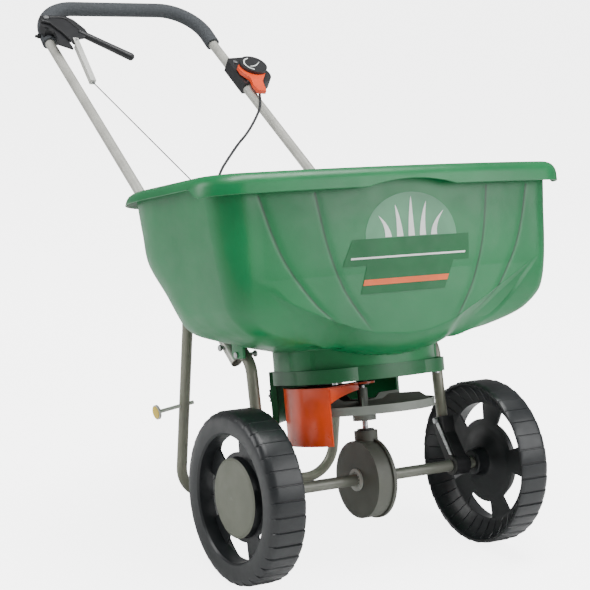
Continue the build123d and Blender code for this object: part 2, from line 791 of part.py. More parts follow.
def rotor_pin():
    """Cross pin that locks the disc's hub to its shaft; it stands out a little on both sides."""
    pin = bar((-21, 0, 101), (21, 0, 101), 1.5)
    return pin - drum(90, 110, SHAFT_R)


def agitator():
    """Wire agitator on the shaft's top, inside the neck."""
    solid = drum(190, 204, 8.0, SHAFT_R)
    for side in (-1, 1):
        solid += bar((side * 6, 0, 197), (side * 40, 0, 192), 2.0)
    return solid


# ---------------------------------------------------------------- edge shield
def edge_shield():
    """Orange shield: arm round the shaft, broad top plate, curved side wall."""
    middle = (SHIELD_FROM + SHIELD_TO) / 2
    solid = sector(SHIELD_Z, SHIELD_Z + WALL, SHIELD_R, 30, SHIELD_FROM, SHIELD_TO)
    solid += drum(SHIELD_Z, SHIELD_Z + WALL, 22.0)
    solid += Rot(0, 0, middle) * block((10, -14, SHIELD_Z), (60, 14, SHIELD_Z + WALL))
    wall = sector(SHIELD_LOW, SHIELD_Z + WALL, SHIELD_R, SHIELD_R - WALL, SHIELD_FROM, SHIELD_TO)
    solid += wall
    solid -= drum(SHIELD_Z - 1, SHIELD_Z + WALL + 1, SLEEVE_R + 1.5)
    return solid


def shield_pivot():
    """Collar under the base that carries the shield's ring."""
    solid = drum(SHIELD_Z - 2.0, BASE_LOW, SLEEVE_R + 1.45, SHAFT_R + 1.0)
    solid += drum(SHIELD_Z - 2.5, SHIELD_Z - GAP / 2, 12.5, SHAFT_R + 1.0)
    return solid


# ---------------------------------------------------------------- controls on the handle
def lever_outline():
    """The lever's wing in the handle plane, from its pivot to the root of the arm."""
    pivot_x, pivot_y, _ = LEVER_PIVOT
    link_x, link_y, _ = LINK_PIVOT
    root_x, root_y, _ = LEVER_ROOT
    return Polyline(
        (pivot_x - 14, pivot_y - 6),
        (pivot_x - 10, pivot_y + 7),
        (pivot_x, pivot_y + 11),
        (pivot_x + 44, pivot_y + 11),
        (root_x + 11, root_y + 15),
        (root_x + 1, root_y - 13),
        (root_x - 10, root_y - 16),
        (link_x + 8, link_y + 4),
        (link_x + 6, link_y - 6),
        (link_x - 6, link_y - 6),
        (link_x - 8, link_y + 2),
        close=True,
    )


def gate_lever():
    """Moulded lever: flat wing that pivots on the clamp, round arm under the grip."""
    wing = HANDLE_PLANE.offset(LEVER_PIVOT[2] - 3) * make_face(lever_outline())
    solid = extrude(wing, 6)
    arm_start = on_handle(LEVER_ROOT[0] - 6, LEVER_ROOT[1] + 6.4, LEVER_ROOT[2])
    solid += bar(tuple(arm_start), tuple(on_handle(*LEVER_TIP)), LEVER_ARM_R)
    solid -= hole_on_handle(LEVER_PIVOT, 3.0 + RUN_FIT)
    solid -= hole_on_handle(LINK_PIVOT, 3.0)
    return solid


def hole_on_handle(place, radius):
    """Cutter square to the handle plane."""
    low = on_handle(place[0], place[1], place[2] - 20)
    high = on_handle(place[0], place[1], place[2] + 20)
    return bar(tuple(low), tuple(high), radius)


def stud_on_handle(place, low, high, radius):
    """Round stud square to the handle plane, between two heights off it."""
    start = on_handle(place[0], place[1], low)
    end = on_handle(place[0], place[1], high)
    return bar(tuple(start), tuple(end), radius)


def lever_clamp():
    """Saddle on the grip's inner side with a plate under the lever."""
    pivot_x, pivot_y, off = LEVER_PIVOT
    low = off - 3 - GAP - 4.6
    outline = Polyline(
        (pivot_x - 12, pivot_y - 11),
        (pivot_x - 9, pivot_y + 9),
        (pivot_x + 7, pivot_y + 9),
        (-158, -34),
        (-164, -38),
        (-164, -62),
        (-187, -46),
        (-181, 0),
        close=True,
    )
    plate = extrude(HANDLE_PLANE.offset(low) * make_face(outline), 4.6)
    body = plate + extrude(HANDLE_PLANE.offset(8) * Pos(-180, 22) * Rectangle(30, 26), low - 7)
    body += extrude(HANDLE_PLANE.offset(-9) * Pos(-161, 22) * Rectangle(8, 26), low + 10)
    body -= tube_along(handle_points(), HANDLE_BENDS, outer=GRIP_R + RUN_FIT, inner=0)
    return body - stud_on_handle(LEVER_PIVOT, low - 1, off + 4, 3.0) - clamp_bolt()


def lever_rivet():
    """Rivet that the lever turns on."""
    off = LEVER_PIVOT[2]
    solid = stud_on_handle(LEVER_PIVOT, off - 3 - GAP - 4.6, off + 3.4, 3.0)
    return solid + stud_on_handle(LEVER_PIVOT, off + 3.4, off + 6, 5.5)


def clamp_bolt():
    """Bolt through the grip and its tube that holds the lever's saddle, nut on the outside."""
    along, off = CLAMP_BOLT
    solid = bar(tuple(on_handle(-206, along, off)), tuple(on_handle(-157.5, along, off)), 3.0)
    solid += bar(tuple(on_handle(-201, along, off)), tuple(on_handle(-195.5, along, off)), 4.8)
    return solid + bar(tuple(on_handle(-157.5, along, off)), tuple(on_handle(-154, along, off)), 5.0)


def link_bar():
    """Steel link of U section that hangs from the lever and ends in the wire's eye."""
    top = Vector(*tuple(on_handle(*LINK_PIVOT)))
    low = Vector(*tuple(on_handle(*LINK_FOOT)))
    direction = low - top
    plane = Plane(origin=top, x_dir=(1, 0, 0), z_dir=direction)
    body = extrude(plane.offset(-7) * Pos(0, -0.1) * Rectangle(11, 11), direction.length + 7)
    body -= extrude(plane.offset(-8) * Pos(0, -0.9) * Rectangle(8.6, 10.2), direction.length + 3)
    body -= extrude(plane.offset(-8) * Pos(0, -0.9) * Rectangle(20, 10.2), 18)
    body -= stud_on_handle(LINK_PIVOT, LINK_PIVOT[2] - 12, LINK_PIVOT[2] + 12, 3.0)
    return body - bar(tuple(low), WIRE_KNEE, WIRE_R)


def link_rivet():
    """Rivet that joins the link to the lever."""
    off = LINK_PIVOT[2]
    return stud_on_handle(LINK_PIVOT, off - 5, off + 7, 2.95)


def gate_wire():
    """Stiff control wire from the link, down behind the hopper, to the shutoff plate."""
    start = on_handle(*LINK_FOOT)
    return tube_along([tuple(start), WIRE_KNEE, WIRE_FOOT], [90.0], outer=WIRE_R, inner=0)


def edge_housing():
    """Housing clamped on the right handle tube, with a drum for the edge control's cable."""
    deep = HOUSING_TOP - HOUSING_UNDER
    outline = Polyline(
        (175, HOUSING_HIGH - 3),
        (180, HOUSING_HIGH + 5),
        (216, HOUSING_HIGH + 9),
        (240, HOUSING_HIGH - 16),
        (222, HOUSING_LOW),
        (176, HOUSING_LOW),
        close=True,
    )
    base = HANDLE_PLANE.offset(HOUSING_UNDER)
    body = extrude(base * make_face(outline), deep)
    body += extrude(base.offset(4) * Pos(*DRUM_BODY) * Circle(DRUM_BODY_R), deep - 4)
    body += extrude(HANDLE_PLANE.offset(HOUSING_TOP) * Pos(*DRUM) * Circle(24), 2.2)
    body -= tube_along(handle_points(), HANDLE_BENDS, outer=TUBE_R, inner=0)
    body -= bar(SHEATH_POINTS[0], SHEATH_POINTS[1], SHEATH_R)
    return body - stud_on_handle(DRUM, HOUSING_UNDER - 1, LEVER_SEAT, 4.0)


def edge_lever():
    """Orange lever that turns on the housing's drum."""
    plane = HANDLE_PLANE.offset(LEVER_SEAT) * Pos(*DRUM)
    outline = Polyline(
        (-20, 18),
        (-34, 2),
        (-35, -16),
        (-24, -40),
        (-29, -62),
        (-27, -84),
        (-10, -86),
        (-2, -52),
        (18, -24),
        close=True,
    )
    solid = extrude(plane * Circle(21), LEVER_T) + extrude(plane * make_face(outline), LEVER_T)
    return solid - stud_on_handle(DRUM, LEVER_SEAT - 1, 50, 4.0 + RUN_FIT)


def edge_cap():
    """Round indicator cap over the lever's drum, on a stud."""
    low = LEVER_SEAT + LEVER_T + GAP
    cap = extrude(HANDLE_PLANE.offset(low) * Pos(*DRUM) * Circle(29), 6.0)
    return cap + stud_on_handle(DRUM, HOUSING_UNDER, low, 4.0)


def edge_screws():
    """Two screws that hold the housing on the tube."""
    solid = Part()
    for place in HOUSING_SCREWS:
        solid += stud_on_handle(place, HOUSING_TOP, HOUSING_TOP + 2.2, 4.5)
    return solid


def sheath_radii():
    """Largest tangent arcs that each corner's two runs allow."""
    spots = [Vector(*point) for point in SHEATH_POINTS]
    radii = []
    for before, here, after in zip(spots, spots[1:], spots[2:]):
        turn = (here - before).get_angle(after - here)
        shorter = min((here - before).length, (after - here).length)
        radii.append(0.45 * shorter / math.tan(math.radians(turn / 2)))
    return radii


def edge_cable():
    """Sheathed cable from the edge control down to the shield."""
    radii = sheath_radii()
    print("cable arc radii", [round(radius) for radius in radii])
    path = FilletPolyline(*SHEATH_POINTS, radius=radii)
    plane = Plane(origin=path @ 0, z_dir=path % 0)
    solid = sweep(plane * Circle(SHEATH_R), path=path)
    print("cable length", round(path.length), "volume share", solid.volume / (math.pi * SHEATH_R**2 * path.length))
    return solid


# ---------------------------------------------------------------- stowed pin and rate dial
def pin_place():
    """Location of the stowed pin: along X, head outward and drooping."""
    return Location(PIN_PLACE, (0, 90 + 180 - PIN_DROOP, 0))


def stow_pin():
    """White locking pin kept in a cross hole of the stand's left leg."""
    solid = extrude(Plane.XY.offset(-22) * Circle(3.4), 72)
    solid += extrude(Plane.XY.offset(50) * Circle(13), 4)
    return pin_place() * solid


def pin_badge():
    """Yellow disc on the pin's head."""
    return pin_place() * extrude(Plane.XY.offset(54) * Circle(11), 1.2)


def pin_hole():
    """Cross hole in the stand for the pin."""
    return pin_place() * extrude(Plane.XY.offset(-30) * Circle(3.5), 60)


def rate_dial():
    """Rate knob behind the deflector, with grip lobes round its edge."""
    plane = Plane(origin=DIAL, x_dir=(1, 0, 0), z_dir=(0, 1, 0))
    solid = extrude(plane * Circle(17), 9)
    for index in range(12):
        angle = math.radians(index * 30.0)
        lobe = plane * Pos(17 * math.cos(angle), 17 * math.sin(angle)) * Circle(2.2)
        solid += extrude(lobe, 9)
    return solid


# ---------------------------------------------------------------- write the parts
LEVEL_PARTS = {
    "hopper": hopper,
    "hopper_base": hopper_base,
    "base_screws": base_screws,
    "gate_guide": gate_guide,
    "gate_plate": gate_plate,
    "left_leg_tube": lambda: leg_tube(-1),
    "right_leg_tube": lambda: leg_tube(1),
    "rear_stand": rear_stand,
    "handle_tube": handle_tube,
    "foam_grip": foam_sleeve,
    "frame_bolts": frame_bolts,
    "stand_bolts": stand_bolts,
    "left_axle_bracket": lambda: axle_bracket(-1),
    "right_axle_bracket": lambda: axle_bracket(1),
    "left_axle_bush": lambda: axle_bush(-1),
    "right_axle_bush": lambda: axle_bush(1),
    "left_leg_strap": lambda: leg_strap(-1),
    "right_leg_strap": lambda: leg_strap(1),
    "bracket_bolts": bracket_bolts,
    "axle_tube": axle_tube,
    "axle_cotters": axle_cotters,
    "axle_washers": axle_washers,
    "crown_gear": crown_gear,
    "bevel_pinion": bevel_pinion,
    "clutch_ring": clutch_ring,
    "gearbox_left_shell": gearbox_left_shell,
    "gearbox_right_shell": gearbox_right_shell,
    "gearbox_screws": gearbox_screws,
    "rotor_shaft": rotor_shaft,
    "lower_bearing": lower_bearing,
    "upper_bearing": upper_bearing,
    "rotor_disc": rotor_disc,
    "rotor_pin": rotor_pin,
    "agitator": agitator,
    "edge_shield": edge_shield,
    "shield_pivot": shield_pivot,
    "gate_lever": gate_lever,
    "lever_clamp": lever_clamp,
    "lever_rivet": lever_rivet,
    "clamp_bolt": clamp_bolt,
    "link_bar": link_bar,
    "link_rivet": link_rivet,
    "gate_wire": gate_wire,
    "edge_housing": edge_housing,
    "edge_lever": edge_lever,
    "edge_cap": edge_cap,
    "edge_screws": edge_screws,
    "edge_cable": edge_cable,
    "stow_pin": stow_pin,
    "pin_badge": pin_badge,
    "rate_dial": rate_dial,
}

UPRIGHT_PARTS = {
    "left_wheel": lambda: wheel(-1, AXLE_R),
    "right_wheel": lambda: wheel(1, AXLE_R + RUN_FIT),
    "left_hubcap": lambda: hubcap(-1),
    "right_hubcap": lambda: hubcap(1),
}

os.makedirs("parts", exist_ok=True)
for parts, place in ((LEVEL_PARTS, REST), (UPRIGHT_PARTS, UPRIGHT)):
    for name, make in parts.items():
        solid = place * make()
        solid.label = name
        export_step(solid, f"parts/{name}.step")
print("tilt", round(TILT, 3), "shift", round(SHIFT_Y, 3))
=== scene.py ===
import bmesh
import bpy
import json
import math
from mathutils import Matrix, Vector
from mathutils.bvhtree import BVHTree


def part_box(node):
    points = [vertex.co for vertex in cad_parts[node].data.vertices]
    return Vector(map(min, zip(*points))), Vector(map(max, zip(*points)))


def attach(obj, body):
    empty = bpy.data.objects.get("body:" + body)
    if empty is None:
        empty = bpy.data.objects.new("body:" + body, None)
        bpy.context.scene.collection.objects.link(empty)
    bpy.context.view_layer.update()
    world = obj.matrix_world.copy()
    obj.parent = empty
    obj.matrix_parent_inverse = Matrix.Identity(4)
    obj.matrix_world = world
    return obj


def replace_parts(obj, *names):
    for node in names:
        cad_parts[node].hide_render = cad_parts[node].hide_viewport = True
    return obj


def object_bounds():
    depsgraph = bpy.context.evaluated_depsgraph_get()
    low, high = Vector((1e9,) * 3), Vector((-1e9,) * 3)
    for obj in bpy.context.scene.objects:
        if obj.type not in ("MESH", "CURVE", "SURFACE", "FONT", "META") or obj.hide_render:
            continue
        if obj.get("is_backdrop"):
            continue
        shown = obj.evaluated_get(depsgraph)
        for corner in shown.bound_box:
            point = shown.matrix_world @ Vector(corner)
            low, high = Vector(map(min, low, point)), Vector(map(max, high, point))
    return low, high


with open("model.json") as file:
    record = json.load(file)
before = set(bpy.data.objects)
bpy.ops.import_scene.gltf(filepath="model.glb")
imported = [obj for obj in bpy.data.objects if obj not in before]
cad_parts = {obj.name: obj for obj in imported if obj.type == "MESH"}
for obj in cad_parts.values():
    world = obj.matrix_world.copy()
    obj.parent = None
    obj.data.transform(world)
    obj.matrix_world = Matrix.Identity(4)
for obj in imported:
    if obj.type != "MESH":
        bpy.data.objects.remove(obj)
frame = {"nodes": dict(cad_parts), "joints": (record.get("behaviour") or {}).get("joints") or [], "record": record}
CAD_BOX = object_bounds()

MM = 0.001
JOINTS = {joint["name"]: joint for joint in frame["joints"]}
AXLE = Vector(JOINTS["axle_spin"]["pos_m"])
SPINDLE = Vector(JOINTS["rotor_spin"]["axis"])
TILT = math.atan2(SPINDLE.y, SPINDLE.z)
SHARP = math.radians(34)

# Level millimetres: the origin is the axle's centre, the hopper's rim is level.
NECK_LOW = 189.0
NECK_TOP = 222.0
RIM_TOP = 500.0
WALL = 3.0
LIP = 22.0
LIP_SHOULDER = 14.0
LIP_SLOPE = 12.0
LIP_FRONT_LOW = 467.0
LIP_SIDE_LOW = 482.0
LIP_BREAK = -110.0
# Height, half width, front, bow of the front, rear, front and rear corner radius.
HOPPER_SECTIONS = [
    (NECK_LOW, 139.0, 105.0, 14.0, 108.0, 75.0, 85.0),
    (NECK_TOP, 139.0, 105.0, 14.0, 108.0, 75.0, 85.0),
    (236.0, 212.0, 122.0, 14.0, 58.0, 50.0, 60.0),
    (262.0, 271.0, 145.0, 18.0, 114.0, 30.0, 72.0),
    (296.0, 303.0, 162.0, 22.0, 145.0, 36.0, 120.0),
    (335.0, 311.0, 171.0, 23.0, 182.0, 42.0, 140.0),
    (377.0, 316.0, 174.0, 23.0, 220.0, 46.0, 145.0),
    (435.0, 321.0, 176.0, 23.0, 262.0, 50.0, 190.0),
    (RIM_TOP, 326.0, 177.0, 23.0, 297.0, 50.0, 232.0),
]
THROAT_RISE = 44.0
# The grooves of one side as distance from the middle and height, from the lip down.
GROOVES = [
    [(263, 480), (231, 379), (178, 297), (130, 252)],
    [(168, 480), (151, 386), (127, 317), (76, 240)],
]
GROOVE_DEPTH = 0.7
GROOVE_FADE = 30.0
GROOVE_INNER = 8.0
GROOVE_OUTER = 3.0
# Width of the painted shade along each groove line.
GROOVE_SHADE_WIDTH = 1.9
# Height of the crease between the front panel and the underside, across the front.
CREASE = [(-320, 352), (-274, 328), (-197, 288), (-147, 266), (-68, 242), (0, 237),
          (68, 249), (120, 271), (163, 291), (247, 331), (320, 368)]
PANEL_FOOT = 335.0
PANEL_BOW = 23.0
PANEL_HALF = 266.0
NECK_DIP = 18.0
NECK_DIP_HALF = 105.0
NECK_EDGE = 165.0
# Where the crease ends at each side, as distance from the middle and height.
APEX = (276.0, 340.0)
# The lip's arch over the label: left, right, height at its ends, height in its middle.
ARCH = (-86.0, 86.0, 466.0, 478.0)

HANDLE_E = Vector((0, 0.7308, 0.6826))
HANDLE_N = Vector((0, -0.6826, 0.7308))
HANDLE_ORIGIN = Vector((0, 722, 849))


def row(point):
    """A point in level millimetres, as a place in the row frame."""
    x, y, z = point
    c, s = math.cos(TILT), math.sin(TILT)
    return AXLE + Vector((x, y * c + z * s, z * c - y * s)) * MM


def on_handle(x, along, off):
    """A level point from its place across, along and out of the handle's plane."""
    return Vector((x, 0, 0)) + HANDLE_ORIGIN + HANDLE_E * along + HANDLE_N * off


# ---------------------------------------------------------------- materials
def linear(colour):
    """An sRGB colour of 0 to 255 as linear RGBA."""
    values = []
    for channel in colour:
        c = channel / 255
        values.append(c / 12.92 if c <= 0.04045 else ((c + 0.055) / 1.055) ** 2.4)
    return (*values, 1.0)


def shaded(colour, factor):
    """A colour made lighter or darker."""
    return tuple(min(255, channel * factor) for channel in colour)


# Places of the colour sockets on Blender's Mix node.
MIX_FIRST, MIX_SECOND, MIX_RESULT = 6, 7, 2


class Finish:
    """A procedural material built up node by node."""

    def __init__(self, name, roughness, metallic=0.0, coat=0.0):
        self.material = bpy.data.materials.new(name)
        self.material.use_nodes = True
        self.tree = self.material.node_tree
        self.shader = self.tree.nodes["Principled BSDF"]
        self.shader.inputs["Roughness"].default_value = roughness
        self.shader.inputs["Metallic"].default_value = metallic
        self.shader.inputs["Coat Weight"].default_value = coat
        self.place = self.tree.nodes.new("ShaderNodeTexCoord").outputs["Object"]
        self.height = None

    def link(self, source, target):
        self.tree.links.new(source, target)

    def noise(self, scale, detail=4.0, stretch=None):
        node = self.tree.nodes.new("ShaderNodeTexNoise")
        node.inputs["Scale"].default_value = scale
        node.inputs["Detail"].default_value = detail
        place = self.place
        if stretch:
            mapping = self.tree.nodes.new("ShaderNodeMapping")
            mapping.inputs["Scale"].default_value = stretch
            self.link(place, mapping.inputs["Vector"])
            place = mapping.outputs["Vector"]
        self.link(place, node.inputs["Vector"])
        return node.outputs["Fac"]

    def cells(self, scale):
        node = self.tree.nodes.new("ShaderNodeTexVoronoi")
        node.inputs["Scale"].default_value = scale
        self.link(self.place, node.inputs["Vector"])
        return node.outputs["Distance"]

    def colours(self, factor, low, high, start=0.35, end=0.65):
        ramp = self.tree.nodes.new("ShaderNodeValToRGB")
        ramp.color_ramp.elements[0].position = start
        ramp.color_ramp.elements[1].position = end
        ramp.color_ramp.elements[0].color = linear(low)
        ramp.color_ramp.elements[1].color = linear(high)
        self.link(factor, ramp.inputs["Fac"])
        self.link(ramp.outputs["Color"], self.shader.inputs["Base Color"])
        return self

    def paint_shade(self, attribute, dark):
        """Paints shade: tints the colour towards a darker one where a mesh attribute says so."""
        given = self.shader.inputs["Base Color"].links[0].from_socket
        amount = self.tree.nodes.new("ShaderNodeAttribute")
        amount.attribute_name = attribute
        mix = self.tree.nodes.new("ShaderNodeMix")
        mix.data_type = "RGBA"
        self.link(amount.outputs["Fac"], mix.inputs["Factor"])
        self.link(given, mix.inputs[MIX_FIRST])
        mix.inputs[MIX_SECOND].default_value = linear(dark)
        self.link(mix.outputs[MIX_RESULT], self.shader.inputs["Base Color"])
        return self

    def vary_roughness(self, factor, low, high):
        spread = self.tree.nodes.new("ShaderNodeMapRange")
        spread.inputs["From Min"].default_value = 0.3
        spread.inputs["From Max"].default_value = 0.7
        spread.inputs["To Min"].default_value = low
        spread.inputs["To Max"].default_value = high
        self.link(factor, spread.inputs["Value"])
        self.link(spread.outputs["Result"], self.shader.inputs["Roughness"])
        return self

    def bump(self, factor, strength, distance):
        node = self.tree.nodes.new("ShaderNodeBump")
        node.inputs["Strength"].default_value = strength
        node.inputs["Distance"].default_value = distance
        self.link(factor, node.inputs["Height"])
        if self.height:
            self.link(self.height, node.inputs["Normal"])
        self.height = node.outputs["Normal"]
        self.link(self.height, self.shader.inputs["Normal"])
        return self


def moulded(name, colour, roughness, grain=900, coat=0.0, strength=0.12):
    """Injection-moulded plastic: slight flow mottling and a fine texture."""
    finish = Finish(name, roughness, coat=coat)
    finish.colours(finish.noise(14, 5), shaded(colour, 0.95), shaded(colour, 1.05))
    finish.vary_roughness(finish.noise(60), roughness - 0.05, roughness + 0.07)
    finish.bump(finish.noise(grain, 2), strength, 0.0004)
    return finish.bump(finish.noise(22, 2), 0.05, 0.003).material


def painted(name, colour, roughness):
    """Powder-coated steel tube with a faint orange peel and dust."""
    finish = Finish(name, roughness, metallic=0.25, coat=0.15)
    finish.colours(finish.noise(26, 6), shaded(colour, 0.95), shaded(colour, 1.04))
    finish.vary_roughness(finish.noise(90, 5), roughness - 0.05, roughness + 0.06)
    return finish.bump(finish.noise(420, 3), 0.05, 0.0003).material


def plated(name, colour, roughness):
    """Zinc-plated steel: cloudy crystals and fine drawn lines."""
    finish = Finish(name, roughness, metallic=0.9)
    finish.colours(finish.cells(160), shaded(colour, 0.82), shaded(colour, 1.06), 0.1, 0.8)
    finish.vary_roughness(finish.noise(120, 6), roughness - 0.08, roughness + 0.12)
    return finish.bump(finish.noise(700, 3, (1, 1, 6)), 0.12, 0.0003).material


def foamed(name, colour):
    """Closed-cell foam sleeve: matte skin full of small pores."""
    finish = Finish(name, 0.93)
    finish.shader.inputs["Specular IOR Level"].default_value = 0.25
    finish.colours(finish.noise(300, 8), shaded(colour, 0.88), shaded(colour, 1.1), 0.3, 0.7)
    finish.bump(finish.cells(900), 0.3, 0.0005)
    return finish.bump(finish.noise(70, 4), 0.12, 0.0015).material


# Name of the mesh attribute that holds the painted shade along the grooves.
SHADE_ATTRIBUTE = "groove_painted_shade"


def leafy(name, colour):
    """The hopper's green polypropylene: satin, mottled, with a leather-fine grain."""
    finish = Finish(name, 0.36)
    finish.shader.inputs["Specular IOR Level"].default_value = 0.55
    finish.shader.inputs["Subsurface Weight"].default_value = 0.04
    finish.shader.inputs["Subsurface Radius"].default_value = (0.002, 0.006, 0.003)
    finish.colours(finish.noise(5, 6), shaded(colour, 0.93), shaded(colour, 1.06), 0.3, 0.7)
    # Painted shade: the green darkens to half along the groove lines, standing in for the shade in the grooves.
    finish.paint_shade(SHADE_ATTRIBUTE, shaded(colour, 0.5))
    finish.vary_roughness(finish.noise(36, 5), 0.31, 0.42)
    finish.bump(finish.noise(1100, 2), 0.14, 0.0003)
    return finish.bump(finish.noise(9, 2), 0.05, 0.006).material


FINISHES = {
    "hopper_green": leafy("hopper_plastic", (12, 116, 64)),
    "base_green": leafy("base_plastic", (8, 90, 47)),
    "frame_grey": painted("leg_paint", (132, 132, 118), 0.42),
    "handle_grey": painted("handle_paint", (192, 192, 184), 0.36),
    "foam": foamed("grip_foam", (74, 77, 80)),
    "wheel_black": moulded("wheel_plastic", (31, 34, 36), 0.34, 700),
    "hubcap_grey": moulded("hubcap_plastic", (108, 111, 99), 0.55, 800),
    "gearbox_grey": moulded("gearbox_plastic", (86, 88, 80), 0.5, 800),
    "steel": plated("bright_steel", (196, 198, 200), 0.3),
    "ring_grey": moulded("ring_plastic", (176, 178, 170), 0.5),
    "shield_orange": moulded("orange_plastic", (240, 78, 28), 0.32, 1200, 0.2, 0.04),
    "rotor_grey": moulded("rotor_plastic", (122, 127, 120), 0.46),
    "black_plastic": moulded("black_plastic", (33, 34, 36), 0.4),
    "white_plastic": moulded("white_plastic", (232, 232, 226), 0.34, 900, 0.1),
    "yellow_plastic": moulded("yellow_plastic", (238, 205, 60), 0.38),
    "zinc": plated("zinc_plate", (188, 190, 190), 0.34),
    "sheath": moulded("cable_sheath", (40, 42, 44), 0.55, 1500),
    "bearing_nylon": moulded("bearing_plastic", (58, 59, 57), 0.5),
}
WIRE_STEEL = plated("wire_steel", (92, 94, 96), 0.42)
DECAL_GREEN = moulded("label_dark_green", (8, 96, 50), 0.5, 1400, 0.0, 0.03)
DECAL_WHITE = moulded("label_white", (236, 240, 236), 0.45, 1400, 0.0, 0.03)
DECAL_ORANGE = moulded("label_orange", (238, 104, 44), 0.45, 1400, 0.0, 0.03)
DECAL_PALE = moulded("label_pale_green", (92, 152, 116), 0.45, 1400, 0.0, 0.03)


SPECIAL = {
    "axle_tube": painted("axle_paint", (118, 120, 110), 0.38),
    "link_bar": painted("link_paint", (212, 213, 208), 0.4),
}


def dress_cad():
    """Gives every CAD node its finish and a small worn edge."""
    slots = {part["node"]: part["material_slot"] for part in frame["record"]["subparts"]}
    for name, node in frame["nodes"].items():
        node.data.materials.clear()
        node.data.materials.append(SPECIAL.get(name, FINISHES[slots[name]]))
        low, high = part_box(name)
        width = min(0.0008, 0.06 * min(high - low))
        bevel = node.modifiers.new("worn_edge", "BEVEL")
        bevel.width = width
        bevel.segments = 2
        bevel.limit_method = "ANGLE"
        bevel.angle_limit = SHARP
        bevel.harden_normals = True


# ---------------------------------------------------------------- mesh helpers
def piece(name, vertices, faces, slot, body, material=None, sharp=SHARP):
    """A mesh piece from level points, riding on a body."""
    mesh = bpy.data.meshes.new(name)
    mesh.from_pydata([row(v) for v in vertices], [], faces)
    mesh.validate()
    mesh.shade_smooth()
    mesh.set_sharp_from_angle(angle=sharp)
    mesh.materials.append(material or FINISHES[slot])
    obj = bpy.data.objects.new(name, mesh)
    bpy.context.scene.collection.objects.link(obj)
    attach(obj, body)
    return obj


def ring_faces(rows, columns, closed_rows=False):
    """Quads over a grid whose columns close on themselves."""
    faces = []
    for r in range(rows if closed_rows else rows - 1):
        below, above = r * columns, (r + 1) % rows * columns
        for c in range(columns):
            n = (c + 1) % columns
            faces.append((below + c, below + n, above + n, above + c))
    return faces


def interpolate(points, value):
    """Smooth rise through (position, value) points that never overshoots them."""
    xs = [p[0] for p in points]
    ys = [p[1] for p in points]
    value = min(max(value, xs[0]), xs[-1])
    slopes = [(ys[i + 1] - ys[i]) / (xs[i + 1] - xs[i]) for i in range(len(xs) - 1)]
    tangents = [slopes[0]]
    for before, after in zip(slopes, slopes[1:]):
        both = before * after
        tangents.append(2 * both / (before + after) if both > 0 else 0.0)
    tangents.append(slopes[-1])
    i = max(k for k in range(len(xs) - 1) if value >= xs[k])
    width = xs[i + 1] - xs[i]
    t = (value - xs[i]) / width
    return (
        ys[i] * (1 + 2 * t) * (1 - t) ** 2
        + tangents[i] * width * t * (1 - t) ** 2
        + ys[i + 1] * t * t * (3 - 2 * t)
        + tangents[i + 1] * width * t * t * (t - 1)
    )


# ---------------------------------------------------------------- hopper
FRONT_STEPS = 340
CORNER_STEPS = 22
SIDE_STEPS = 26
REAR_CORNER_STEPS = 34
REAR_STEPS = 40


def outline(values, height):
    """The hopper's closed outline at one height, always with the same count of points."""
    half, front, drop, rear, front_r, rear_r = values
    reach = half - front_r
    bow = (reach * reach + drop * drop) / (2 * drop)
    fx = reach
    for _ in range(3):
        fx = reach + front_r * fx / bow
    lean = math.asin(fx / bow)
    fy = front + math.sqrt(bow * bow - fx * fx) - bow
    points = []
    for i in range(FRONT_STEPS):
        x = -fx + 2 * fx * i / FRONT_STEPS
        points.append((x, bow - front - math.sqrt(bow * bow - x * x), height))

    def corner(cx, cy, radius, start, steps, sweep=90.0):
        for i in range(steps):
            angle = math.radians(start + sweep * i / steps)
            points.append(
                (cx + radius * math.cos(angle), cy + radius * math.sin(angle), height)
            )

    def line(a, b, steps):
        for i in range(steps):
            t = i / steps
            points.append((a[0] + (b[0] - a[0]) * t, a[1] + (b[1] - a[1]) * t, height))

    side_front, side_rear = -fy + front_r * math.cos(lean), rear - rear_r
    rx = half - rear_r
    turn = math.degrees(lean)
    corner(reach, side_front, front_r, turn - 90, CORNER_STEPS, 90 - turn)
    line((half, side_front), (half, side_rear), SIDE_STEPS)
    corner(rx, side_rear, rear_r, 0, REAR_CORNER_STEPS)
    line((rx, rear), (-rx, rear), REAR_STEPS)
    corner(-rx, side_rear, rear_r, 90, REAR_CORNER_STEPS)
    line((-half, side_rear), (-half, side_front), SIDE_STEPS)
    corner(-reach, side_front, front_r, 180, CORNER_STEPS, 90 - turn)
    return points


def section_at(height, inset=0.0):
    """The hopper's section values at a height, shrunk by inset."""
    if height <= NECK_TOP:
        values = list(HOPPER_SECTIONS[0][1:])
    else:
        upper = HOPPER_SECTIONS[1:]
        values = [
            interpolate([(s[0], s[k]) for s in upper], height) for k in range(1, 7)
        ]
    return [v if k == 2 else v - inset for k, v in enumerate(values)]


def throat(point, inset):
    """Carries the neck's rear wall up into the bowl."""
    x, y, z = point
    _, half, _, _, rear, _, radius = HOPPER_SECTIONS[1]
    if y <= 0 or abs(x) >= half - inset or not NECK_TOP < z < NECK_TOP + THROAT_RISE:
        return point
    radius -= inset
    over = max(abs(x) - (half - inset - radius), 0.0)
    reach = rear - inset - radius + math.sqrt(max(radius * radius - over * over, 0.0))
    return (x, max(y, reach), z)


def eased(value):
    """A smooth step from 0 to 1."""
    t = min(max(value, 0.0), 1.0)
    return t * t * (3 - 2 * t)


def front_panel(x, z):
    """Depth of the bowed front panel, which leans in slightly towards its bottom."""
    depth = section_at(max(z, PANEL_FOOT))[1] - 0.05 * max(PANEL_FOOT - z, 0.0)
    return PANEL_BOW * (x / PANEL_HALF) ** 2 - depth


def underside_foot(x):
    """Height where the underside meets the neck, lowest in the middle."""
    dip = NECK_DIP * max(0.0, 1 - (x / NECK_DIP_HALF) ** 2)
    return NECK_TOP - dip + 12 * eased((abs(x) - 120) / 50)


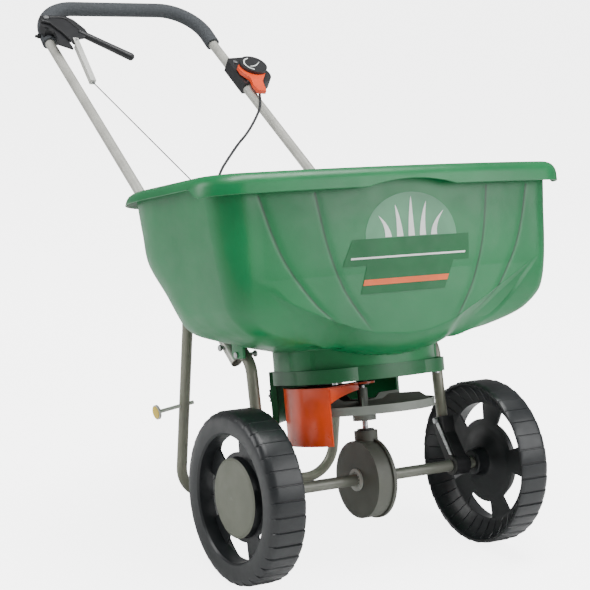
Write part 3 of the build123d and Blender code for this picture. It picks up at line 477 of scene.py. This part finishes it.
def front_form(x, z):
    """Depth of the front skin: the panel, and below its crease the underside to the neck."""
    crease = interpolate(CREASE, x)
    if z >= crease:
        return front_panel(x, z)
    foot = underside_foot(x)
    foot_depth = -104 - 16 * eased((abs(x) - 110) / 60) + 8 * min(1.0, (x / 110) ** 2)
    t = min(max((crease - z) / (crease - foot), 0.0), 1.0)
    top = front_panel(x, crease)
    belly = 0.75 * (1 - math.sqrt(1 - t * t)) + 0.25 * t
    middle = 1 - eased((abs(x) - 70) / 70)
    return top + (foot_depth - top) * (belly * middle + t ** 0.85 * (1 - middle))


def groove_lines(z):
    """Each groove's distance from the middle at a height, with its share of full depth."""
    for path in GROOVES:
        foot = path[-1][1]
        if z > foot:
            line = interpolate([(q[1], q[0]) for q in reversed(path)], z)
            yield line, min(1.0, (z - foot) / GROOVE_FADE)


def grooves(x, z):
    """Depth of the thin grooves that sweep down the front panel."""
    depth = 0.0
    for line, fade in groove_lines(z):
        inward = line - abs(x)
        width = GROOVE_INNER if inward > 0 else GROOVE_OUTER
        depth += GROOVE_DEPTH * fade * math.exp(-((inward / width) ** 2))
    return depth


def groove_painted_shade(point):
    """How much painted shade darkens the skin: up to 1 along a groove, 0 away from it and on the lip."""
    x, y, z = point
    if y > -60 or z > lip_low(point) - 1.5:
        return 0.0
    painted_shade = 0.0
    for line, fade in groove_lines(z):
        painted_shade = max(painted_shade, fade * math.exp(-(((abs(x) - line) / GROOVE_SHADE_WIDTH) ** 2)))
    return painted_shade


def carved(point):
    """A point of the outer skin, moved onto the front's panel, underside and grooves."""
    x, y, z = point
    if y > -50 or not NECK_TOP - NECK_DIP < z < LIP_SIDE_LOW + 12:
        return point
    if z < APEX[1]:
        rise = max(z - NECK_TOP, 0) / (APEX[1] - NECK_TOP)
        edge = NECK_EDGE + (APEX[0] - NECK_EDGE) * rise
        weight = eased((edge - abs(x)) / 22)
    else:
        half, _, _, _, front_r, _ = section_at(z)
        weight = eased((half - front_r + 8 - abs(x)) / 24)
    if z < underside_foot(x):
        return point
    form = front_form(x, z)
    if z < NECK_TOP:
        form = min(form, y)
    return (x, y + (form - y) * weight + grooves(x, z), z)


def lip_low(point):
    """Height of the lip's lower edge: deep along the front, arched over the label."""
    x, y, _ = point
    t = (LIP_BREAK + 12 - y) / 24
    low = LIP_SIDE_LOW + (LIP_FRONT_LOW - LIP_SIDE_LOW) * eased(t)
    left, right, ends, top = ARCH
    if y < -140 and left < x < right:
        u = (x - left) / (right - left)
        low = max(low, ends + (top - ends) * math.sin(math.pi * u) ** 0.8)
    return low


def lip_row(grow, height):
    """One outline round the lip, grown outward from the rim."""
    half, front, drop, rear, front_r, rear_r = HOPPER_SECTIONS[-1][1:]
    return outline(
        (half + grow, front + grow, drop, rear + 0.7 * grow, front_r + grow, rear_r + grow),
        height,
    )


INNER_ROWS = 34
FINE_TOP = 345.0
FINE_STEP = 1.4
COARSE_STEP = 3.0
# Rows over the lip, from its lower edge inward: how far out, how far below the rim.
LIP_PROFILE = [
    (LIP - 0.6, 18.0), (LIP - 2, 12.5), (LIP - 4.4, 8.0), (LIP - 8, 4.0),
    (LIP - LIP_SLOPE - 1, 1.2), (6.0, 0.2), (1.0, 0.0), (-WALL + 0.8, 0.4),
]


def make_hopper():
    """Open bowl with its neck, rounded lip and grooved front."""
    rows = []
    top = RIM_TOP - 2.0
    heights = [top - (top - NECK_TOP) * i / INNER_ROWS for i in range(INNER_ROWS + 1)]
    for height in heights + [NECK_LOW]:
        rows.append([throat(p, WALL) for p in outline(section_at(height, WALL), height)])
    outer = [NECK_LOW, 196.0, 203.0]
    while outer[-1] < LIP_SIDE_LOW + 10:
        outer.append(outer[-1] + (FINE_STEP if outer[-1] < FINE_TOP else COARSE_STEP))
    for height in outer:
        shape = outline(section_at(height), height)
        rows.append([carved(throat(p, 0.0)) for p in shape])
    rows.append(lip_row(1.0, RIM_TOP - WALL))
    rows.append(lip_row(LIP - LIP_SLOPE - WALL, RIM_TOP - WALL - 0.5))
    rows.append(lip_row(LIP - 2 - WALL, RIM_TOP - LIP_SHOULDER))
    for grow, raised in ((LIP - WALL, 0.6), (LIP - 1.2, 0.0), (LIP, 1.0)):
        rows.append([(x, y, lip_low((x, y, 0)) + raised) for x, y, _ in lip_row(grow, 0)])
    for grow, drop in LIP_PROFILE:
        rows.append(lip_row(grow, RIM_TOP - drop))
    vertices = [p for shape in rows for p in shape]
    faces = ring_faces(len(rows), len(rows[0]), closed_rows=True)
    hopper = piece("hopper_shell", vertices, faces, "hopper_green", "frame")
    # Painted shade along the grooves, stored on the hopper's points for its material.
    painted_shade = hopper.data.attributes.new(SHADE_ATTRIBUTE, "FLOAT", "POINT")
    painted_shade.data.foreach_set("value", [groove_painted_shade(p) for p in vertices])
    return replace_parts(hopper, "hopper")


LUG_EDGE = 1.2
LUG_HALF = 2.5


def slab(name, low, high, slot, body):
    """A moulded block between two level corners, with rounded edges."""
    mesh = bmesh.new()
    bmesh.ops.create_cube(mesh, size=1.0)
    low, high = Vector(low), Vector(high)
    for v in mesh.verts:
        v.co = (low + high) / 2 + Vector([v.co[k] * (high - low)[k] for k in range(3)])
    bmesh.ops.bevel(
        mesh, geom=mesh.edges[:], offset=LUG_EDGE, segments=3, affect="EDGES", profile=0.5
    )
    mesh.verts.index_update()
    vertices = [tuple(v.co) for v in mesh.verts]
    faces = [[v.index for v in f.verts] for f in mesh.faces]
    mesh.free()
    return piece(name, vertices, faces, slot, body)


def make_lugs():
    """The hopper's lugs that the leg tubes and the handle's feet are bolted to."""
    for side, label in ((-1, "left"), (1, "right")):
        for name, at, y0, y1, z0, z1 in (
            ("leg_lug", 200.5, 30, 66, 217, 262),
            ("foot_lug", 175.0, 88, 118, 230, 292),
        ):
            low = (side * at - LUG_HALF, y0, z0)
            high = (side * at + LUG_HALF, y1, z1)
            slab(f"{label}_{name}", low, high, "hopper_green", "frame")


# ---------------------------------------------------------------- wheels
WHEEL_X = 241.0
WHEEL_R = 140.0
WHEEL_HALF = 30.0
LUGS = 36
LUG_SHAPE = ((0.0, -2.6), (0.05, -2.6), (0.09, 0.0), (0.3, -0.3), (0.5, -0.7), (0.7, -1.0),
             (0.88, -1.4), (0.97, -1.7))
RIM_OPEN_R = 101.0
HUB_R = 64.0
SPOKES = 5
WINDOW_SPAN = 42.0
WINDOW_LEAN = 18.0


RIB_RISE = 1.3
# The hub from the outer face round its drum to the inner face, as (out, radius).
HUB_PROFILE = [
    (4.5, HUB_R + 8.0), (5.0, HUB_R + 1.2), (9.0, HUB_R), (16.5, HUB_R), (17.0, HUB_R - 2.5),
    (14.5, HUB_R - 4.0), (14.5, 14.0), (6.0, 11.0), (-28.0, 9.9), (-29.5, 12.0),
    (-WHEEL_HALF, 20.5), (-28.5, 22.0), (-16.0, 22.6), (-9.0, 24.5), (-5.5, 30.0),
    (-2.5, 44.0), (1.0, 56.0), (0.8, HUB_R - 2.0), (0.8, HUB_R + 8.0),
]


def wheel_profile():
    """Rows across the wheel as (out, radius, share of the lug pattern, rib height)."""
    return [
        (4.5, RIM_OPEN_R - 1.0, 0, 0), (16.0, RIM_OPEN_R, 0, 0), (25.0, RIM_OPEN_R + 1.0, 0, 0),
        (27.8, RIM_OPEN_R + 4.0, 0, 0), (29.2, RIM_OPEN_R + 10.0, 0, 0),
        (29.9, RIM_OPEN_R + 18.0, 0, 0), (29.6, RIM_OPEN_R + 26.0, 0.0, 0),
        (28.4, WHEEL_R - 8.5, 0.25, 0), (26.2, WHEEL_R - 5.0, 0.6, 0),
        (23.4, WHEEL_R - 2.4, 0.9, 0), (20.0, WHEEL_R - 0.8, 1.0, 0), (16.0, WHEEL_R, 1.0, 0),
        (0.0, WHEEL_R, 1.0, 0), (-22.0, WHEEL_R, 1.0, 0), (-28.5, WHEEL_R - 0.6, 1.0, 0),
        (-WHEEL_HALF, WHEEL_R - 1.6, 0.8, 0), (-WHEEL_HALF, WHEEL_R - 5.0, 0, 0),
        (-29.0, WHEEL_R - 6.4, 0, 0), (-24.0, WHEEL_R - 8.0, 0, 0.4),
        (-15.0, WHEEL_R - 15.0, 0, 1), (-8.0, WHEEL_R - 23.0, 0, 1),
        (-3.0, RIM_OPEN_R + 7.0, 0, 1), (0.2, RIM_OPEN_R + 2.5, 0, 0.6),
        (0.8, RIM_OPEN_R - 1.0, 0, 0),
    ]


def wheel_angles():
    """Column angles in degrees with each one's lug offset and whether a rib stands there."""
    pitch = 360.0 / LUGS
    columns = []
    for lug in range(LUGS):
        for share, offset in LUG_SHAPE:
            columns.append(((lug + share) * pitch, offset, share == LUG_SHAPE[0][0]))
    return columns


def in_window(angle):
    """Whether an angle lies in one of the windows between the spokes."""
    pitch = 360.0 / SPOKES
    local = (angle + WINDOW_LEAN - 90 + pitch / 2) % pitch - pitch / 2
    return abs(local) < WINDOW_SPAN / 2


def make_wheel(side, name, node, body):
    """Moulded wheel: rounded rim with sawtooth lugs, ribbed inside, five windows, hub drum."""
    profile = wheel_profile()
    columns = wheel_angles()
    count = len(columns)
    vertices, faces = [], []

    def spot(out, radius, angle):
        a = math.radians(angle)
        return (side * (WHEEL_X + out), radius * math.cos(a), radius * math.sin(a))

    for out, radius, lugs, rib in profile:
        for angle, offset, ribbed in columns:
            shift = RIB_RISE * rib if ribbed else 0.0
            vertices.append(spot(out - shift, radius + offset * lugs - shift * 0.4, angle))
    faces += ring_faces(len(profile), count)
    hub_start = len(vertices)
    for out, radius in HUB_PROFILE:
        for angle, _, _ in columns:
            vertices.append(spot(out, radius, angle))
    faces += [tuple(hub_start + i for i in f) for f in ring_faces(len(HUB_PROFILE), count)]
    outer_rim, inner_rim = 0, (len(profile) - 1) * count
    outer_hub, inner_hub = hub_start, hub_start + (len(HUB_PROFILE) - 1) * count
    inside = [in_window((columns[c][0] + columns[(c + 1) % count][0]) / 2) for c in range(count)]
    for c in range(count):
        n = (c + 1) % count
        if inside[c]:
            faces.append((outer_rim + c, inner_rim + c, inner_rim + n, outer_rim + n))
            faces.append((outer_hub + c, outer_hub + n, inner_hub + n, inner_hub + c))
        else:
            faces.append((outer_rim + c, outer_rim + n, outer_hub + n, outer_hub + c))
            faces.append((inner_rim + c, inner_hub + c, inner_hub + n, inner_rim + n))
        if inside[c] != inside[c - 1]:
            wall = (outer_rim + c, outer_hub + c, inner_hub + c, inner_rim + c)
            faces.append(wall if inside[c] else wall[::-1])
    wheel = piece(name, vertices, faces, "wheel_black", body, sharp=math.radians(28))
    fix_normals(wheel)
    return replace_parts(wheel, node)


def fix_normals(obj):
    """Turns every face outwards."""
    mesh = bmesh.new()
    mesh.from_mesh(obj.data)
    bmesh.ops.recalc_face_normals(mesh, faces=mesh.faces[:])
    mesh.to_mesh(obj.data)
    mesh.free()


# ---------------------------------------------------------------- front label
SIGHT = -400.0
FILM = 0.7
FILM_OVER = 1.05


def front_skin(hopper):
    """Returns a function: the level point on the hopper's front skin at x, z."""
    tree = BVHTree.FromObject(hopper, bpy.context.evaluated_depsgraph_get())
    inward = row((0, 1, 0)) - row((0, 0, 0))

    def skin(x, z, proud):
        start = row((x, SIGHT, z))
        hit, _, _, _ = tree.ray_cast(start, inward)
        depth = (hit - start).length / MM + SIGHT
        return (x, depth - proud, z)

    return skin


def sticker(name, lower, upper, skin, proud, material, steps=10):
    """A thin printed film on the front skin, filled between two edges of x, z points."""
    vertices = []
    for j in range(steps + 1):
        t = j / steps
        for (x0, z0), (x1, z1) in zip(lower, upper):
            vertices.append(skin(x0 + (x1 - x0) * t, z0 + (z1 - z0) * t, proud))
    columns = len(lower)
    faces = [
        (r * columns + c, r * columns + c + 1, (r + 1) * columns + c + 1, (r + 1) * columns + c)
        for r in range(steps)
        for c in range(columns - 1)
    ]
    return piece(name, vertices, faces, "hopper_green", "frame", material)


def straight(a, b, steps=24):
    """Evenly spaced points from a to b."""
    return [
        (a[0] + (b[0] - a[0]) * i / steps, a[1] + (b[1] - a[1]) * i / steps)
        for i in range(steps + 1)
    ]


DOME_FOOT = 384.0
DOME_STEPS = 48
BLADE_FOOT = 389.0
BLADE_STEPS = 12
# Each blade of grass: where its root is, how far its tip leans, how high it is.
BLADES = ((-46, -16, 34), (-24, -6, 50), (-2, 3, 62), (20, 10, 53), (42, 22, 38))


def make_label(skin):
    """A generic label: a pale dome, slanted dark bands, grass blades, a line and a stripe."""
    dome = []
    for i in range(DOME_STEPS + 1):
        angle = math.pi * (1 - i / DOME_STEPS)
        dome.append((5 + 88 * math.cos(angle), DOME_FOOT + 74 * math.sin(angle) ** 0.9))
    base = [(x, DOME_FOOT) for x, _ in dome]
    sticker("label_dome", base, dome, skin, 0.35, DECAL_PALE)
    for name, low_left, low_right, high_left, high_right, proud, material in (
        ("band_upper", (-127, 347), (116, 347), (-107, 388), (118, 388), FILM, DECAL_GREEN),
        ("band_lower", (-97, 303), (63, 303), (-83, 347), (84, 347), FILM, DECAL_GREEN),
        ("stripe", (-92, 316), (69, 316), (-89, 325), (73, 325), FILM_OVER, DECAL_ORANGE),
        ("line", (-112, 357), (108, 357), (-111, 360), (109, 360), FILM_OVER, DECAL_WHITE),
    ):
        lower = straight(low_left, low_right)
        upper = straight(high_left, high_right)
        sticker(f"label_{name}", lower, upper, skin, proud, material)
    for index, (root, lean, rise) in enumerate(BLADES):
        left, right = [], []
        for i in range(BLADE_STEPS + 1):
            t = i / BLADE_STEPS
            middle = root + 5 + lean * t * t
            width = 6.0 * (1 - t) ** 0.7 + 0.2
            left.append((middle - width, BLADE_FOOT + rise * t))
            right.append((middle + width, BLADE_FOOT + rise * t))
        sticker(f"label_blade_{index}", right, left, skin, FILM, DECAL_WHITE, 4)


# ---------------------------------------------------------------- cords and wires
SHEATH_POINTS = [
    (206, 597.8, 743.9), (199, 580.1, 734.3), (189, 561.9, 718.6), (177, 542.6, 701.2),
    (158, 520, 680), (117, 497, 639), (80, 475, 615), (42, 450, 586), (3, 425, 554),
    (-24, 402, 502), (-38, 372, 446), (-44, 330, 394), (-46, 284, 344), (-45, 236, 290),
    (-41, 190, 236), (-38, 152, 178),
]
SHEATH_R = 2.6


CORD_ORDER = 3


def line_piece(name, points, radius, slot, body, material=None):
    """A round cord along a smooth curve whose control points are the route's points."""
    curve = bpy.data.curves.new(name, "CURVE")
    curve.dimensions = "3D"
    curve.bevel_depth = radius * MM
    curve.bevel_resolution = 5
    curve.resolution_u = 14
    curve.use_fill_caps = True
    spline = curve.splines.new("NURBS")
    spline.points.add(len(points) - 1)
    for target, point in zip(spline.points, points):
        target.co = (*row(point), 1.0)
    spline.order_u = CORD_ORDER
    spline.use_endpoint_u = True
    curve.materials.append(material or FINISHES[slot])
    obj = bpy.data.objects.new(name, curve)
    bpy.context.scene.collection.objects.link(obj)
    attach(obj, body)
    return obj


LINK_FOOT = (-161.0, -163.0, 20.0)
WIRE_KNEE = Vector((52.0, 237.0, 315.0))
WIRE_FOOT = Vector((51.0, 122.0, 170.0))
WIRE_R = 1.2
WIRE_EASE = 70.0


def make_wire():
    """The stiff control wire from the link down to the shutoff plate."""
    start = on_handle(*LINK_FOOT)
    before = WIRE_KNEE + (start - WIRE_KNEE).normalized() * WIRE_EASE
    after = WIRE_KNEE + (WIRE_FOOT - WIRE_KNEE).normalized() * WIRE_EASE
    points = [start, start.lerp(before, 0.5), before, WIRE_KNEE, after, WIRE_FOOT]
    wire = line_piece("control_wire", points, WIRE_R, "zinc", "link", WIRE_STEEL)
    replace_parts(wire, "gate_wire")


def make_cable():
    """The edge control's sheathed cable, held at both ends."""
    cable = line_piece("edge_cable_sheath", SHEATH_POINTS, SHEATH_R, "sheath", "frame")
    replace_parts(cable, "edge_cable")


# ---------------------------------------------------------------- controls
DRUM = (212.0, -118.0)
CAP_TOP = 31.0
MARK_RISE = 0.35


ARC_RADII = (19.0, 22.0)
POINTER_STEPS = 14


def printed_strip(name, vertices):
    """A printed mark between two edges, whose points alternate."""
    faces = [(i, i + 2, i + 3, i + 1) for i in range(0, len(vertices) - 2, 2)]
    piece(name, vertices, faces, "white_plastic", "frame", DECAL_WHITE)


def make_cap_marks():
    """White printed marks on the edge control's round cap: an arc and a long pointer."""
    vertices = []
    for degrees in range(100, 251, 6):
        angle = math.radians(degrees)
        for radius in ARC_RADII:
            x = DRUM[0] + radius * math.cos(angle)
            along = DRUM[1] + radius * math.sin(angle)
            vertices.append(on_handle(x, along, CAP_TOP + MARK_RISE))
    printed_strip("cap_arc", vertices)
    vertices = []
    for i in range(POINTER_STEPS + 1):
        t = i / POINTER_STEPS
        x = DRUM[0] - 12 + 28 * t
        along = DRUM[1] - 8 + 15 * t - 5 * math.sin(math.pi * t)
        half = 1.5 * math.sin(math.pi * min(0.97, 0.12 + 0.8 * t)) ** 0.5
        vertices.append(on_handle(x, along - half, CAP_TOP + MARK_RISE))
        vertices.append(on_handle(x, along + half, CAP_TOP + MARK_RISE))
    printed_strip("cap_pointer", vertices)


SHIELD_R = 130.0
SHIELD_Z = 157.0
SHIELD_TO = 212.5
FLANGE_STEPS = 16
FLANGE_SIDES = (0.3, 3.1)


def make_shield_flange():
    """The stiffening flange under the front edge of the edge shield's arm."""
    angle = math.radians(SHIELD_TO)
    along = Vector((math.cos(angle), math.sin(angle), 0))
    across = Vector((-along.y, along.x, 0))
    steps = FLANGE_STEPS
    near, far = FLANGE_SIDES
    top = SHIELD_Z + 1.0
    vertices, faces = [], []
    for i in range(steps + 1):
        t = i / steps
        radius = 19 + (SHIELD_R - 20) * t
        bend = -9 * math.sin(math.pi * (1 - t)) * (1 - t)
        foot = SHIELD_Z - (9.0 + 13.0 * t * t)
        for side, z in ((near, top), (far, top), (far, foot), (near, foot)):
            spot = along * radius - across * (side + bend * 0.6 - 3)
            vertices.append((spot.x, spot.y, z))
    for i in range(steps):
        for k in range(4):
            n = (k + 1) % 4
            faces.append((4 * i + k, 4 * i + n, 4 * i + 4 + n, 4 * i + 4 + k))
    faces += [(3, 2, 1, 0), (4 * steps, 4 * steps + 1, 4 * steps + 2, 4 * steps + 3)]
    flange = piece("shield_flange", vertices, faces, "shield_orange", "edge_shield")
    fix_normals(flange)


LEVER_PIVOT = (-187.0, 35.0, 34.0)
LINK_PIVOT = (-154.0, -46.0, 34.0)
LEVER_ROOT = (-128.0, -17.0, 34.0)
LEVER_TIP = (-52.0, -102.0, 34.0)
ARM_R = 8.0


def lever_outline():
    """The lever's wing in the handle plane, from its pivot to the root of the arm."""
    px, py, _ = LEVER_PIVOT
    lx, ly, _ = LINK_PIVOT
    rx, ry, _ = LEVER_ROOT
    return [
        (px - 14, py - 6), (px - 13, py + 2), (px - 10, py + 7), (px - 5, py + 10.5),
        (px, py + 11), (px + 22, py + 11), (px + 44, py + 11), (px + 58, py - 4),
        (rx + 11, ry + 15),
        (rx + 11, ry + 2), (rx + 1, ry - 13), (rx - 10, ry - 16), (lx + 12, ly + 11),
        (lx + 8, ly + 4), (lx + 6, ly - 6), (lx, ly - 9), (lx - 6, ly - 6), (lx - 8, ly + 2),
        (lx - 16, ly + 34), (px + 4, py - 16),
    ]


def plate(name, edge, low, high, slot, body, radius):
    """A moulded plate in the handle plane with rounded edges."""
    count = len(edge)
    vertices = [on_handle(x, along, low) for x, along in edge]
    vertices += [on_handle(x, along, high) for x, along in edge]
    faces = [tuple(range(count))[::-1], tuple(range(count, 2 * count))]
    faces += [(i, (i + 1) % count, count + (i + 1) % count, count + i) for i in range(count)]
    obj = piece(name, vertices, faces, slot, body)
    fix_normals(obj)
    soften = obj.modifiers.new("rounded", "BEVEL")
    soften.width = radius * MM
    soften.segments = 3
    soften.limit_method = "ANGLE"
    soften.angle_limit = SHARP
    soften.harden_normals = True
    return obj


TURNED_STEPS = 28


def turned(name, start, end, profile, slot, body):
    """A round piece along a level line; profile is (distance from start, radius)."""
    axis = (Vector(end) - Vector(start)).normalized()
    side = axis.cross(Vector((0.3, 0.1, 1))).normalized()
    up = side.cross(axis)
    vertices = []
    steps = TURNED_STEPS
    for distance, radius in profile:
        for i in range(steps):
            a = 2 * math.pi * i / steps
            offset = side * math.cos(a) + up * math.sin(a)
            vertices.append(Vector(start) + axis * distance + offset * radius)
    faces = ring_faces(len(profile), steps)
    faces.append(tuple(range(steps)))
    faces.append(tuple(range(len(vertices) - steps, len(vertices)))[::-1])
    obj = piece(name, vertices, faces, slot, body)
    fix_normals(obj)
    return obj


def make_lever():
    """Squeeze lever: rounded wing with a raised rib, collar and round tapered arm."""
    off = LEVER_PIVOT[2]
    wing = plate("lever_wing", lever_outline(), off - 3, off + 3, "black_plastic", "lever", 1.6)
    start = on_handle(LEVER_ROOT[0] - 6, LEVER_ROOT[1] + 6.4, off)
    tip = on_handle(*LEVER_TIP)
    length = (tip - start).length
    profile = [(0.0, 5.0), (1.5, ARM_R), (6.0, ARM_R), (7.0, ARM_R - 0.9), (10.0, ARM_R - 1.2),
               (length * 0.5, ARM_R - 0.9), (length - 7.0, ARM_R - 0.2)]
    profile += [
        (length - 7.0 + 7.0 * math.sin(a), (ARM_R - 0.2) * math.cos(a))
        for a in [math.radians(15 * k) for k in range(1, 6)]
    ]
    turned("lever_arm", start, tip, profile, "black_plastic", "lever")
    rib = [
        on_handle(LEVER_PIVOT[0] + 8, LEVER_PIVOT[1] + 2, off + 3),
        on_handle(LEVER_PIVOT[0] + 30, LEVER_PIVOT[1] + 4, off + 3.4),
        on_handle(LEVER_PIVOT[0] + 46, LEVER_PIVOT[1] - 6, off + 3.6),
        on_handle(LEVER_ROOT[0] - 2, LEVER_ROOT[1] + 6, off + 4),
    ]
    line_piece("lever_rib", rib, 2.0, "black_plastic", "lever")
    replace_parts(wing, "gate_lever")


# ---------------------------------------------------------------- studio
WORLD_STRENGTH = 0.3
BACKDROP_LIFT = 4.5
FLOOR_HALF = 14.0


def seen_strength(tree, seen, other, target):
    """Gives a strength one value for what the camera sees and another for all else."""
    camera_ray = tree.nodes.new("ShaderNodeLightPath").outputs["Is Camera Ray"]
    lift = tree.nodes.new("ShaderNodeMath")
    lift.operation = "MULTIPLY_ADD"
    lift.inputs[1].default_value = seen - other
    lift.inputs[2].default_value = other
    tree.links.new(camera_ray, lift.inputs[0])
    tree.links.new(lift.outputs["Value"], target)


def make_floor():
    """A white floor that the camera sees as bright as the backdrop."""
    mesh = bpy.data.meshes.new("floor")
    half = FLOOR_HALF
    corners = [(-half, -half, 0), (half, -half, 0), (half, half, 0), (-half, half, 0)]
    mesh.from_pydata(corners, [], [(0, 1, 2, 3)])
    finish = Finish("floor_paint", 0.85)
    finish.colours(finish.noise(3, 3), (244, 244, 244), (248, 248, 248))
    finish.shader.inputs["Emission Color"].default_value = (1, 1, 1, 1)
    seen_strength(finish.tree, BACKDROP_LIFT, 0.0, finish.shader.inputs["Emission Strength"])
    mesh.materials.append(finish.material)
    floor = bpy.data.objects.new("floor", mesh)
    bpy.context.scene.collection.objects.link(floor)
    floor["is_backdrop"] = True


def make_light(name, place, aim, power, size):
    """A rectangular white light that faces a point."""
    light = bpy.data.lights.new(name, "AREA")
    light.shape = "RECTANGLE"
    light.size, light.size_y = size
    light.energy = power
    obj = bpy.data.objects.new(name, light)
    bpy.context.scene.collection.objects.link(obj)
    obj.location = place
    obj.rotation_euler = (Vector(aim) - Vector(place)).to_track_quat("-Z", "Y").to_euler()


def make_studio():
    """The backdrop and three soft lights round the object."""
    world = bpy.context.scene.world or bpy.data.worlds.new("studio")
    bpy.context.scene.world = world
    world.use_nodes = True
    background = world.node_tree.nodes["Background"]
    background.inputs["Color"].default_value = (1, 1, 1, 1)
    strength = background.inputs["Strength"]
    seen_strength(world.node_tree, BACKDROP_LIFT, WORLD_STRENGTH, strength)
    centre = AXLE + Vector((0, 0.35, 0.25))
    make_light("left", centre + Vector((-3.0, 1.1, 1.3)), centre, 50, (1.4, 2.0))
    make_light("front_right", centre + Vector((2.0, -2.9, 1.5)), centre, 84, (3.2, 2.4))
    make_light("top", centre + Vector((0.2, -0.5, 3.0)), centre, 135, (3.0, 1.4))


CAMERA_OFFSET = Vector((-1.5795, -2.2144, 0.9524))
CAMERA_FORWARD = Vector((0.5223, 0.8204, -0.2326))
CAMERA_UP = Vector((0.0707, 0.2301, 0.9705))
CAMERA_LENS = 105.36


def make_camera():
    """The camera, solved from the photograph's perspective."""
    data = bpy.data.cameras.new("view")
    data.lens = CAMERA_LENS
    data.sensor_width = 36.0
    camera = bpy.data.objects.new("view", data)
    bpy.context.scene.collection.objects.link(camera)
    forward = CAMERA_FORWARD.normalized()
    right = forward.cross(CAMERA_UP).normalized()
    up = right.cross(forward)
    turn = Matrix((right, up, -forward)).transposed().to_4x4()
    camera.matrix_world = Matrix.Translation(AXLE + CAMERA_OFFSET) @ turn
    data.clip_start, data.clip_end = 0.05, 60
    bpy.context.scene.camera = camera


dress_cad()
hopper = make_hopper()
make_lugs()
make_label(front_skin(hopper))
make_cable()
make_wire()
make_cap_marks()
make_lever()
make_shield_flange()
make_wheel(-1, "left_wheel_shell", "left_wheel", "axle")
make_wheel(1, "right_wheel_shell", "right_wheel", "free_wheel")
make_floor()
make_studio()
make_camera()

visual_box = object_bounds()
boxes = {"cad": CAD_BOX, "visual": visual_box}
{k: [list(corner) for corner in box] for k, box in boxes.items()}
